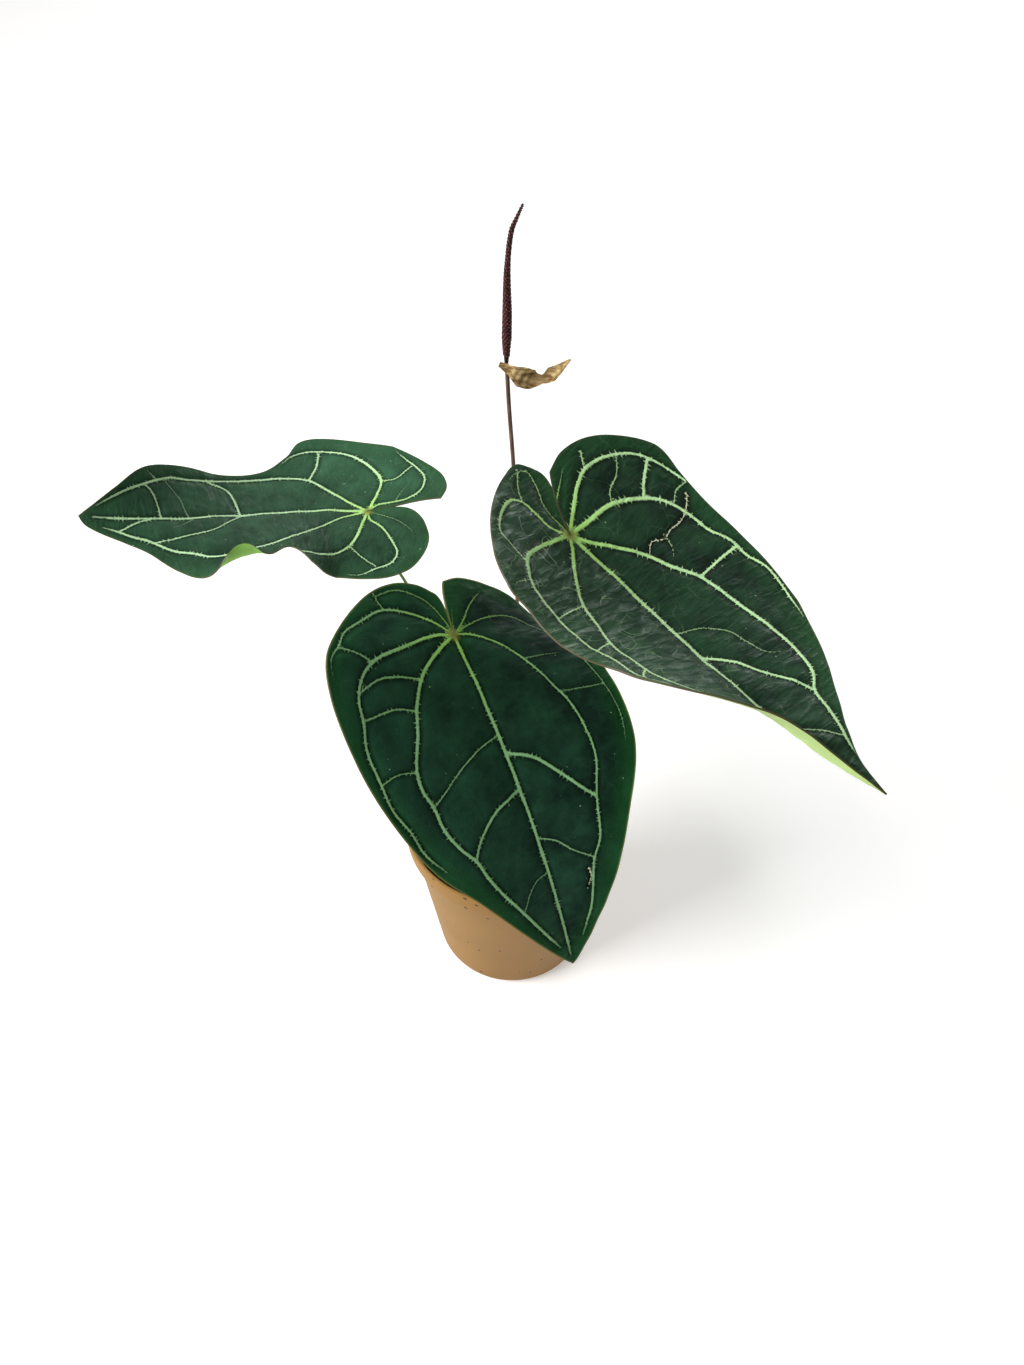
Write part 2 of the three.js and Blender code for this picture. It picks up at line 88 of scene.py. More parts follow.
def add(tree, kind, sockets=None, **settings):
    """Add a node. A socket takes a value, an output, or a node, which gives its first live output."""
    node = tree.nodes.new(kind)
    for name, value in settings.items():
        setattr(node, name, value)
    for socket, value in (sockets or {}).items():
        if isinstance(value, bpy.types.Node):
            value = next(output for output in value.outputs if output.enabled)
        if isinstance(value, bpy.types.NodeSocket):
            tree.links.new(value, node.inputs[socket])
        else:
            node.inputs[socket].default_value = value
    return node


def new_material(name, **numbers):
    """A material with its shader's own numbers set, such as Roughness=0.6."""
    material = bpy.data.materials.new(name)
    material.use_nodes = True
    shader = material.node_tree.nodes["Principled BSDF"]
    for socket, value in numbers.items():
        shader.inputs[socket.replace("_", " ")].default_value = value
    return material, material.node_tree, shader


# %% [markdown]
# ## Helpers for pieces
# All shapes start in a bmesh in millimetres. One function scales it, makes the object at the
# origin and shades it smooth with sharp edges kept. Another seats the piece in the frame: it rides
# on the plant's one body and hides the solid it stands for.

# %% Piece helpers
def make_piece(bm, name, *materials, sharp=40):
    """Turn a bmesh in millimetres into an object at the origin."""
    bmesh.ops.transform(bm, matrix=Matrix.Scale(MM, 4), verts=bm.verts)
    mesh = bpy.data.meshes.new(name)
    bm.to_mesh(mesh)
    bm.free()
    for material in materials:
        mesh.materials.append(material)
    piece = bpy.data.objects.new(name, mesh)
    bpy.context.scene.collection.objects.link(piece)
    mesh.shade_smooth()
    mesh.set_sharp_from_angle(angle=math.radians(sharp))
    return piece


def bake_modifiers(piece, sharp=40):
    """Put the result of a piece's modifiers into its mesh."""
    graph = bpy.context.evaluated_depsgraph_get()
    evaluated = piece.evaluated_get(graph)
    mesh = bpy.data.meshes.new_from_object(evaluated, preserve_all_data_layers=True, depsgraph=graph)
    piece.modifiers.clear()
    piece.data = mesh
    mesh.shade_smooth()
    mesh.set_sharp_from_angle(angle=math.radians(sharp))


def seat(piece, slot, *nodes):
    """The piece rides on the plant and stands for these solids of the frame."""
    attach(piece, "root")
    if nodes:
        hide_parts(*nodes)
    faces = sum(len(polygon.vertices) - 2 for polygon in piece.data.polygons)
    print(piece.name, "triangles:", faces, "stands for:", nodes)


# %% [markdown]
# ## Curves
# Stalks, blade margins and veins are all smooth curves through a few places read from the plant.
# A Catmull-Rom curve passes through its points, which a Bezier or NURBS curve does not. Stalks use
# knots spaced by the root of each chord, which never loops, and margins use even knots, because
# the solids were drawn that way.

# %% Smooth curves through points
def smooth_curve(points, count, even_knots=False):
    """Places evenly spaced along a Catmull-Rom curve through the points."""
    p = np.array(points, float)
    if even_knots:
        p = np.vstack([p[0], p, p[-1]])
        gaps = np.ones(len(p) - 1)
    else:
        p = np.vstack([2 * p[0] - p[1], p, 2 * p[-1] - p[-2]])
        gaps = np.linalg.norm(np.diff(p, axis=0), axis=1) ** 0.5
    t = np.linspace(0, 1, 24, endpoint=False)[:, None]
    pieces = []
    for k in range(1, len(p) - 2):
        a, b, c = gaps[k - 1:k + 2]
        chord = p[k + 1] - p[k]
        leave = b * ((p[k] - p[k - 1]) / a - (p[k + 1] - p[k - 1]) / (a + b) + chord / b)
        arrive = b * (chord / b - (p[k + 2] - p[k]) / (b + c) + (p[k + 2] - p[k + 1]) / c)
        bend2 = 3 * chord - 2 * leave - arrive
        bend3 = leave + arrive - 2 * chord
        pieces.append(p[k] + t * leave + t**2 * bend2 + t**3 * bend3)
    dense = np.vstack([*pieces, p[-2:-1]])
    lengths = np.linalg.norm(np.diff(dense, axis=0), axis=1)
    travelled = np.concatenate([[0], np.cumsum(lengths)])
    even = np.linspace(0, travelled[-1], count)
    return np.stack([np.interp(even, travelled, axis) for axis in dense.T], axis=1)


# %% [markdown]
# ## Pot plastic
# The pot is injection-moulded polypropylene, coloured sand through and through and left matt from
# the mould. That gives a soft broad highlight, a faint mottle a few centimetres wide, a very fine
# grain, and a few dark crumbs of growing mix stuck on it. The crumbs are 0.5 to 1 mm dots on a 6 mm
# spacing, with most of them left out by a random threshold.

# %% Matt sand polypropylene
def pot_plastic():
    material, tree, shader = new_material("moulded_polypropylene", Roughness=0.62, IOR=1.49)
    shader.inputs["Specular IOR Level"].default_value = 0.3
    place = add(tree, "ShaderNodeTexCoord").outputs["Object"]
    mottle = add(tree, "ShaderNodeTexNoise", {"Vector": place, "Scale": 1 / (38 * MM), "Detail": 3.0})
    tone = add(tree, "ShaderNodeMix",
               {0: mottle, 6: linear("#865f25"), 7: linear("#9c7434")}, data_type="RGBA")
    crumb = add(tree, "ShaderNodeTexVoronoi", {"Vector": place, "Scale": 1 / (6 * MM)})
    few = add(tree, "ShaderNodeSeparateColor", {0: crumb.outputs["Color"]})
    grown = add(tree, "ShaderNodeMapRange", {0: few, 1: 0.6, 2: 1.0, 3: 0.0, 4: 0.22})
    dot = add(tree, "ShaderNodeMath", {0: crumb.outputs["Distance"], 1: grown}, operation="LESS_THAN")
    colour = add(tree, "ShaderNodeMix", {0: dot, 6: tone, 7: linear("#33220f")}, data_type="RGBA")
    tree.links.new(colour.outputs[2], shader.inputs["Base Color"])
    grain = add(tree, "ShaderNodeTexNoise", {"Vector": place, "Scale": 1 / (0.9 * MM), "Detail": 2.0})
    height = add(tree, "ShaderNodeMath", {0: dot, 1: 8.0, 2: grain}, operation="MULTIPLY_ADD")
    bump = add(tree, "ShaderNodeBump", {"Height": height, "Distance": 0.03 * MM, "Strength": 0.7})
    tree.links.new(bump.outputs[0], shader.inputs["Normal"])
    return material


# %% [markdown]
# ## The pot
# A nursery pot is a thin tapered cup with a rounded foot, a stepped collar and drain holes. A
# profile of its wall, spun about the upright axis, gives all of it but the holes. Real edges are
# rounded, so the profile gets a small arc at each corner of the rim instead of a sharp point. The
# holes are cut by a boolean with a ring of cylinders.

# %% Pot
POT = {"height": 118, "base": 45, "base_round": 7, "neck": 56, "neck_height": 105, "collar": 59,
       "rim": 60, "wall": 1.6, "floor": 2.4, "chamfer": 0.6, "step": 1}
DRAIN = {"count": 8, "radius": 4, "ring": 31}
POT_SECTORS = 144


def arc(centre, radius, start, end, steps):
    """Places [radius, height] on an arc from one angle to another, in degrees."""
    angles = np.radians(np.linspace(start, end, steps + 1))
    return [(centre[0] + radius * math.cos(a), centre[1] + radius * math.sin(a)) for a in angles]


def spin(bm, profile, sectors):
    """Turn a profile of [radius, height] about the upright axis and close its poles."""
    verts = [bm.verts.new((radius, 0, height)) for radius, height in profile]
    edges = [bm.edges.new(pair) for pair in zip(verts, verts[1:])]
    bmesh.ops.spin(bm, geom=verts + edges, cent=(0, 0, 0), axis=(0, 0, 1), angle=2 * math.pi,
                   steps=sectors, use_merge=True)
    bmesh.ops.remove_doubles(bm, verts=bm.verts, dist=1e-3)
    bmesh.ops.recalc_face_normals(bm, faces=bm.faces)


def pot_profile():
    flat = POT["base"] - POT["base_round"]
    foot = POT["neck_height"] - POT["step"]
    soft = POT["chamfer"]
    wall = POT["wall"]
    outside = [(0, 0), (flat - 6, 0), (flat - 5, 0.5), (flat - 3, 0.5), (flat - 2, 0)]
    outside += arc((flat, POT["base_round"]), POT["base_round"], -90, -10, 12)
    outside += [(POT["neck"] - 0.05, foot - 0.5), (POT["neck"] + 0.4, foot)]
    outside += arc((POT["collar"] - soft, foot + soft), soft, -90, -5, 5)
    outside += arc((POT["rim"] - wall / 2, POT["height"] - wall / 2), wall / 2, 0, 180, 10)
    inside = [(POT["collar"] - wall, foot + 2 * POT["step"]), (POT["neck"] - wall + 0.5, foot + 0.6),
              (POT["neck"] - wall, foot - 0.4), (POT["base"] - wall, POT["base_round"] + POT["step"])]
    return outside + inside + [(flat + 1, POT["floor"] + 0.6), (flat - 1, POT["floor"]), (0, POT["floor"])]


bm = bmesh.new()
spin(bm, pot_profile(), POT_SECTORS)
pot = make_piece(bm, "nursery_pot", pot_plastic(), sharp=50)
bm = bmesh.new()
for k in range(DRAIN["count"]):
    angle = 2 * math.pi * k / DRAIN["count"]
    middle = Vector((DRAIN["ring"] * math.cos(angle), DRAIN["ring"] * math.sin(angle), 1))
    bmesh.ops.create_cone(bm, cap_ends=True, segments=32, radius1=DRAIN["radius"],
                          radius2=DRAIN["radius"], depth=12, matrix=Matrix.Translation(middle))
drill = make_piece(bm, "drill")
cut = pot.modifiers.new("holes", "BOOLEAN")
cut.object = drill
cut.operation = "DIFFERENCE"
cut.solver = "EXACT"
bake_modifiers(pot, sharp=50)
bpy.data.objects.remove(drill)
seat(pot, "pot_plastic", "pot")

# %% [markdown]
# ## Growing mix
# An aroid grows in a loose mix: dark peat and coir crumbs, chips of orchid bark and white grains
# of perlite. The peat is one closed body whose top is pushed up and down by two sizes of noise.
# Bark and perlite are a few hundred small stones on top: a low-poly ball, stretched and dented at
# random, is enough for each, because they are seen by the hundred and from far off.

# %% Peat, bark and perlite
SOIL = {"top": 101, "lump": 1.3, "grain": 0.9, "gap": 0.6}
CROWN = {"foot": 66, "top": 122, "radius": 7.5, "scars": 5}


def crumbly(name, dark, light, spacing, roughness=0.95):
    """A rough natural stuff: two colours in crumbs of the given size, and a coarse surface."""
    material, tree, shader = new_material(name, Roughness=roughness)
    shader.inputs["Specular IOR Level"].default_value = 0.15
    place = add(tree, "ShaderNodeTexCoord").outputs["Object"]
    patches = add(tree, "ShaderNodeTexNoise", {"Vector": place, "Scale": 1 / (spacing * MM), "Detail": 5.0})
    sharp = add(tree, "ShaderNodeMapRange", {0: patches, 1: 0.35, 2: 0.65, 3: 0.0, 4: 1.0})
    colour = add(tree, "ShaderNodeMix", {0: sharp, 6: linear(dark), 7: linear(light)}, data_type="RGBA")
    tree.links.new(colour.outputs[2], shader.inputs["Base Color"])
    bump = add(tree, "ShaderNodeBump", {"Height": patches, "Distance": 0.25 * spacing * MM, "Strength": 0.8})
    tree.links.new(bump.outputs[0], shader.inputs["Normal"])
    return material


def inner_radius(height):
    """The inside of the pot's wall at a height, less a little room."""
    share = (height - POT["base_round"]) / (POT["neck_height"] - POT["base_round"])
    return POT["base"] + share * (POT["neck"] - POT["base"]) - POT["wall"] - SOIL["gap"]


def soil_height(x, y):
    """The top of the growing mix: low mounds with crumbs on them."""
    mound = noise.noise(Vector((x, y, 0)) / 16)
    crumb = noise.fractal(Vector((x, y, 7)) / 3.2, 0.6, 2.0, 3)
    return SOIL["top"] + SOIL["lump"] * mound + SOIL["grain"] * crumb


bm = bmesh.new()
edge = inner_radius(SOIL["top"])
hole = CROWN["radius"] + SOIL["gap"]
profile = [(0, POT["floor"] + 0.3), (POT["base"] - 8, POT["floor"] + 0.3), (inner_radius(9), 9)]
profile += [(edge + (hole - edge) * share, SOIL["top"]) for share in np.linspace(0, 1, 56)]
profile += [(hole, SOIL["top"] - 30), (hole - 6, SOIL["top"] - 36), (0, SOIL["top"] - 37)]
spin(bm, profile, 180)
for vert in bm.verts:
    if vert.co.z > SOIL["top"] - 1e-3:
        vert.co.z = soil_height(vert.co.x, vert.co.y)
soil = make_piece(bm, "growing_mix", crumbly("peat_and_coir", "#1c130d", "#46311f", 2.2), sharp=180)
seat(soil, "soil", "soil")


def scatter(name, material, count, size, flatness, seed):
    """Small dented stones lying on the growing mix, each turned and stretched at random."""
    draw = np.random.default_rng(seed)
    bm = bmesh.new()
    for _ in range(count):
        reach = math.sqrt(draw.uniform((hole + 2) ** 2, (edge - 4) ** 2))
        angle = draw.uniform(0, 2 * math.pi)
        x, y = reach * math.cos(angle), reach * math.sin(angle)
        long, wide = draw.uniform(*size), draw.uniform(0.45, 0.8)
        lift = soil_height(x, y) + 0.25 * long * flatness
        turn = Matrix.Rotation(draw.uniform(0, 2 * math.pi), 4, "Z")
        tilt = Matrix.Rotation(draw.uniform(-0.5, 0.5), 4, "X")
        stretch = Matrix.Diagonal((long / 2, long * wide / 2, long * flatness / 2, 1))
        made = bmesh.ops.create_icosphere(bm, subdivisions=1, radius=1.0)
        for vert in made["verts"]:
            vert.co *= draw.uniform(0.7, 1.15)
        place = Matrix.Translation((x, y, lift)) @ turn @ tilt @ stretch
        bmesh.ops.transform(bm, matrix=place, verts=made["verts"])
    return make_piece(bm, name, material, sharp=30)


bark = scatter("bark_chips", crumbly("orchid_bark", "#2b1a10", "#6b4527", 3.0), 420, (4, 10), 0.32, 3)
seat(bark, "soil")
perlite = scatter("perlite", crumbly("perlite_grains", "#b9b2a4", "#e9e5da", 1.5), 110, (1.6, 3.6), 0.8, 4)
seat(perlite, "soil")

# %% [markdown]
# ## Stalks
# A petiole is a smooth round stalk, a little thicker at its foot, with a stiff swollen joint just
# under the blade that turns the blade to the light. Extruding a ring along a curve would do, but
# here a flat grid is rolled up: its rows become rings, each moved to its place on the curve. Then
# the seam is merged and the ends are closed, and the radius can change all the way.

# %% Tube along a curve
def frames_along(centres):
    """Forward, side and over directions at each place of a curve, carried along without twist."""
    forward = np.gradient(centres, axis=0)
    forward /= np.linalg.norm(forward, axis=1)[:, None]
    helper = np.array([1.0, 0.0, 0.0]) if abs(forward[0][0]) < 0.8 else np.array([0.0, 1.0, 0.0])
    side = np.empty_like(forward)
    for k, way in enumerate(forward):
        helper = helper - way * helper.dot(way)
        helper /= np.linalg.norm(helper)
        side[k] = helper
    return forward, side, np.cross(forward, side)


def tube(bm, centres, radii, sides):
    """Roll a grid into a tube along a curve, with a radius for each step, and close its ends."""
    steps = len(centres) - 1
    _, side, over = frames_along(centres)
    made = bmesh.ops.create_grid(bm, x_segments=sides, y_segments=steps, size=0.5)["verts"]
    for vert in made:
        k = round((vert.co.y + 0.5) * steps)
        angle = 2 * math.pi * (vert.co.x + 0.5)
        spoke = math.cos(angle) * side[k] + math.sin(angle) * over[k]
        vert.co = centres[k] + radii[k] * spoke
    bmesh.ops.remove_doubles(bm, verts=made, dist=1e-4)
    open_edges = [e for e in bm.edges if e.is_boundary]
    bmesh.ops.holes_fill(bm, edges=open_edges, sides=0)
    bmesh.ops.recalc_face_normals(bm, faces=bm.faces)


def glossy_stalk(name, foot, tip, streak, span):
    """A living stalk: two colours along its height, fine long streaks, and a waxy skin."""
    material, tree, shader = new_material(name, Roughness=0.42, IOR=1.42)
    shader.inputs["Specular IOR Level"].default_value = 0.35
    place = add(tree, "ShaderNodeTexCoord").outputs["Object"]
    height = add(tree, "ShaderNodeSeparateXYZ", {0: place}).outputs["Z"]
    share = add(tree, "ShaderNodeMapRange", {0: height, 1: span[0] * MM, 2: span[1] * MM, 3: 0.0, 4: 1.0})
    colour = add(tree, "ShaderNodeMix", {0: share, 6: linear(foot), 7: linear(tip)}, data_type="RGBA")
    fibre = [1 / (size * MM) for size in (0.7, 0.7, 9)]
    long = add(tree, "ShaderNodeMapping", {"Vector": place, "Scale": fibre})
    streaks = add(tree, "ShaderNodeTexNoise", {"Vector": long, "Scale": 1.0, "Detail": 3.0})
    strong = add(tree, "ShaderNodeMapRange", {0: streaks, 1: 0.45, 2: 0.75, 3: 0.0, 4: 0.8})
    both = add(tree, "ShaderNodeMix", {0: strong, 6: colour, 7: linear(streak)}, data_type="RGBA")
    tree.links.new(both.outputs[2], shader.inputs["Base Color"])
    bump = add(tree, "ShaderNodeBump", {"Height": streaks, "Distance": 0.08 * MM, "Strength": 0.6})
    tree.links.new(bump.outputs[0], shader.inputs["Normal"])
    return material


# %% [markdown]
# ## Crown and roots
# The crown is the plant's own stem: short, thick and ringed where old leaves have dropped. It is
# spun from a profile like the pot. Fleshy roots leave it above the mix, arch over and go down.
# They are tubes with a rough, greyish skin, which is what living aroid roots have.

# %% Crown
ROOT = {"radius": 1.7, "count": 5, "leave": 12, "arch": 7, "dip": 3, "reach": 24, "depth": 78}


def crown_radius(height):
    share = (height - CROWN["foot"]) / (CROWN["top"] - CROWN["foot"])
    taper = 1 - 0.35 * (1 - share) ** 2 - 0.25 * share**6
    ring = math.cos(2 * math.pi * CROWN["scars"] * share)
    return CROWN["radius"] * taper + 0.35 * math.copysign(abs(ring) ** 0.5, ring)


bm = bmesh.new()
heights = np.linspace(CROWN["foot"], CROWN["top"], 90)
top = [(crown_radius(CROWN["top"]) * math.cos(a), CROWN["top"] + 0.6 * math.sin(a)) for a in (0.5, 1.0)]
stem = [(0, CROWN["foot"])] + [(crown_radius(h), h) for h in heights]
spin(bm, stem + top + [(0, CROWN["top"] + 0.6)], 64)
for vert in bm.verts:
    rough = noise.fractal(vert.co / 4, 0.6, 2.0, 3)
    vert.co += Vector((vert.co.x, vert.co.y, 0)).normalized() * 0.35 * rough
crown = make_piece(bm, "crown_stem", crumbly("ringed_green_stem", "#4d4a26", "#7c7a48", 1.6, 0.7), sharp=60)
seat(crown, "crown", "crown")

bm = bmesh.new()
for k in range(ROOT["count"]):
    angle = 2 * math.pi * (k + 0.35) / ROOT["count"]
    way = np.array([math.cos(angle), math.sin(angle), 0])
    stations = [(CROWN["radius"] / 2, CROWN["top"] - ROOT["leave"] - k),
                (ROOT["reach"] * 0.45, SOIL["top"] + ROOT["arch"] - k),
                (ROOT["reach"] * 0.7 + k, SOIL["top"] - ROOT["dip"]), (ROOT["reach"] + k, ROOT["depth"])]
    curve = smooth_curve([way * reach + (0, 0, height) for reach, height in stations], 40)
    knobs = [ROOT["radius"] * (0.92 + 0.12 * noise.noise(Vector((k, 0.35 * i, 0)))) for i in range(40)]
    tube(bm, curve, knobs, 16)
roots = make_piece(bm, "fleshy_roots", crumbly("root_skin", "#6d6a4c", "#a39b78", 0.8, 0.8), sharp=60)
seat(roots, "crown")

# %% [markdown]
# ## Papery sheaths
# Each new leaf breaks out of a sheath that dries to brown paper and stays at the foot of the
# stalks. A sheath is a pointed sheet rolled round the crown: a grid whose columns go round and
# whose rows go up, thinned to its point, rippled along its fibres, and given a wall by Solidify.

# %% Sheaths
SHEATH = {"turns": (194, 332), "length": 30, "half_width": 5, "foot": 109, "lean": 2.2, "flare": 3,
          "wall": 0.45}


def dry_paper(name, dark, light, fibre):
    """Dead plant skin: long fibres of two browns, dull, with fine ridges along it."""
    material, tree, shader = new_material(name, Roughness=0.8)
    shader.inputs["Specular IOR Level"].default_value = 0.2
    place = add(tree, "ShaderNodeTexCoord").outputs["Object"]
    along = add(tree, "ShaderNodeMapping", {"Vector": place, "Scale": [1 / (size * MM) for size in fibre]})
    fibres = add(tree, "ShaderNodeTexNoise", {"Vector": along, "Scale": 1.0, "Detail": 4.0})
    contrast = add(tree, "ShaderNodeMapRange", {0: fibres, 1: 0.32, 2: 0.68, 3: 0.0, 4: 1.0})
    colour = add(tree, "ShaderNodeMix", {0: contrast, 6: linear(dark), 7: linear(light)}, data_type="RGBA")
    tree.links.new(colour.outputs[2], shader.inputs["Base Color"])
    bump = add(tree, "ShaderNodeBump", {"Height": fibres, "Distance": 0.3 * MM, "Strength": 0.8})
    tree.links.new(bump.outputs[0], shader.inputs["Normal"])
    return material


paper = dry_paper("dried_sheath", "#4d3320", "#94703f", (0.8, 0.8, 14))
for number, turn in enumerate(SHEATH["turns"], 1):
    bm = bmesh.new()
    bmesh.ops.create_grid(bm, x_segments=24, y_segments=60, size=0.5)
    for vert in bm.verts:
        share = vert.co.y + 0.5
        across = 2 * vert.co.x
        width = SHEATH["half_width"] * math.sqrt(max(1 - share**2, 0)) * (0.8 + 0.4 * share)
        ripple = 0.18 * math.sin(9 * across + 2 * share) * share
        radius = CROWN["radius"] + 0.6 + SHEATH["lean"] * share + SHEATH["flare"] * share**3 + ripple
        angle = math.radians(turn) + across * width / radius
        height = SHEATH["foot"] + SHEATH["length"] * share
        vert.co = Vector((radius * math.cos(angle), radius * math.sin(angle), height))
    bmesh.ops.remove_doubles(bm, verts=bm.verts, dist=1e-3)
    sheath = make_piece(bm, f"papery_sheath_{number}", paper)
    wall = sheath.modifiers.new("wall", "SOLIDIFY")
    wall.thickness = SHEATH["wall"] * MM
    wall.offset = 0
    bake_modifiers(sheath)
    seat(sheath, "sheath", f"sheath_{number}")

# %% [markdown]
# ## How a blade is drawn
# Each blade is drawn flat, as a grower would trace a pressed leaf: a margin for each half, and the
# line of the sinus, the notch between the lobes. Then it is bent. The midrib is a Bezier curve in
# space, and from it each half goes out along the surface, rising by a fold at the midrib and a
# curl that grows towards the margin. Roll, fold and curl have three values, for the joint, the
# middle and the tip. The numbers are those of the solids, so the fine blade lies in the plain one.

# %% Blade shapes
# Flat places are (across, along) from the joint, in millimetres; angles are degrees.
BLADES = {
    "left": {
        "length": 144, "width": 52, "roll": (2, 1, 65),
        "midrib": ((-75, 96, 249), (-122, 110, 241), (-159, 67, 263), (-207, 58, 277)),
        "right": {
            "margin": ((12, -36), (20, -37), (28, -32), (35, -21), (42, -6), (48, 10), (54, 26), (53, 35),
                       (43, 41), (33, 52), (30, 70), (32, 92), (27, 113), (15, 128), (5, 139), (0, 144)),
            "sinus": (10, -25), "fold": (6, 4, 1), "curl": (16, 16, 11), "waves": (),
        },
        "left": {
            "margin": ((4, -32), (13, -37), (23, -37), (34, -32), (42, -20), (46, -4), (49, 14), (48, 33),
                       (37, 52), (43, 66), (50, 80), (48, 93), (32, 106), (19, 116), (12, 126), (5, 140),
                       (0, 144)),
            "sinus": (-11, -20), "fold": (-1, 11, 8), "curl": (-9, -15, -27),
            "waves": ({"at": 0.59, "spread": 0.12, "angle": 165, "power": 5},),
        },
    },
    "front": {
        "length": 165, "width": 60, "roll": (17, -7, -7),
        "midrib": ((-24, -35, 290), (2, -83, 266), (19, -108, 213), (27, -116, 164)),
        "right": {
            "margin": ((-1, -18), (7, -23), (18, -25), (32, -22), (48, -13), (60, -2), (63, 10), (61, 30),
                       (56, 53), (46, 82), (32, 105), (19, 129), (6, 154), (0, 165)),
            "sinus": (-4, -14), "fold": (8, 8, 12), "curl": (-5, -3, 0), "waves": (),
        },
        "left": {
            "margin": ((8, -23), (18, -24), (31, -22), (46, -18), (57, -11), (62, 2), (62, 20), (60, 37),
                       (56, 60), (51, 74), (40, 94), (28, 118), (15, 141), (4, 160), (0, 165)),
            "sinus": (4, -19), "fold": (-2, 9, 17), "curl": (-28, -6, 4), "waves": (),
        },
    },
    "right": {
        "length": 151, "width": 60, "roll": (-3, 13, 36),
        "midrib": ((22, -27, 336), (69, -62, 309), (79, -108, 328), (122, -136, 318)),
        "right": {
            "margin": ((-13, -21), (-8, -27), (3, -26), (14, -23), (27, -18), (37, -13), (47, -7), (54, 1),
                       (53, 14), (54, 30), (53, 47), (48, 62), (42, 80), (31, 97), (20, 112), (10, 126),
                       (4, 138), (1.6, 146), (0, 151)),
            "sinus": (-16, -16), "fold": (10, 15, 23), "curl": (29, -1, 0),
            "waves": ({"at": 0.84, "spread": 0.2, "angle": 18, "power": 0},),
        },
        "left": {
            "margin": ((14, -18), (24, -20), (36, -18), (47, -11), (55, -1), (53, 9), (51, 21), (51, 34),
                       (50, 48), (47, 65), (44, 74), (36, 94), (25, 113), (15, 127), (7, 138), (2.6, 146),
                       (0, 151)),
            "sinus": (8, -13), "fold": (12, 17, 32), "curl": (-2, 1, 2), "waves": (),
        },
    },
}
BLADE = {"thickness": 0.7, "rows": 240, "columns": 78, "lobe_share": 7 / 30, "arc_steps": 12}


def through(values, u):
    """The quadratic through three values, at 0, a half and 1."""
    start, middle, end = values
    return start * (1 - u) * (1 - 2 * u) + 4 * middle * u * (1 - u) + end * u * (2 * u - 1)


def midrib_frame(blade, u):
    """Place, right and up of the midrib, for an array of shares of its length."""
    start, leave, arrive, tip = np.array(blade["midrib"], float)
    t = np.maximum(u, 0)[:, None]
    place = (1 - t) ** 3 * start + 3 * (1 - t) ** 2 * t * leave + 3 * (1 - t) * t**2 * arrive + t**3 * tip
    place = place + np.minimum(u, 0)[:, None] * 3 * (leave - start)
    forward = (1 - t) ** 2 * (leave - start) + 2 * (1 - t) * t * (arrive - leave) + t**2 * (tip - arrive)
    forward /= np.linalg.norm(forward, axis=1)[:, None]
    level = np.cross(forward, (0, 0, 1))
    level /= np.linalg.norm(level, axis=1)[:, None]
    plumb = np.cross(level, forward)
    roll = np.radians(through(blade["roll"], t))
    right = np.cos(roll) * level + np.sin(roll) * plumb
    return place, right, np.cross(right, forward)


def bend(blade, side, across, along):
    """Bend flat places of one half into space."""
    half = blade["right"] if side > 0 else blade["left"]
    u = along / blade["length"]
    place, right, up = midrib_frame(blade, u)
    step = across / BLADE["arc_steps"]
    for k in range(BLADE["arc_steps"]):
        share = (k + 0.5) * step / blade["width"]
        slope = through(half["fold"], u) + through(half["curl"], u) * share
        for wave in half["waves"]:
            swell = np.exp(-(((u - wave["at"]) / wave["spread"]) ** 2))
            slope = slope + wave["angle"] * swell * (share ** wave["power"] if wave["power"] else 1)
        slope = np.radians(slope)
        place = place + right * (side * step * np.cos(slope))[:, None] + up * (step * np.sin(slope))[:, None]
    return place


# %% [markdown]
# ## The veins
# What makes this plant is its veins: from the joint, a midrib and three or four curved veins on
# each side, which meet in a collective vein inside the margin, with cross veins between. Each vein
# is a smooth curve through a few places on the flat blade. A row holds its half width at its start
# and its end in millimetres, its tone from 0, faint, to 1, full, and its places. A shader can't
# trace such a network by itself, so each vertex of the blade gets the way to its nearest vein.

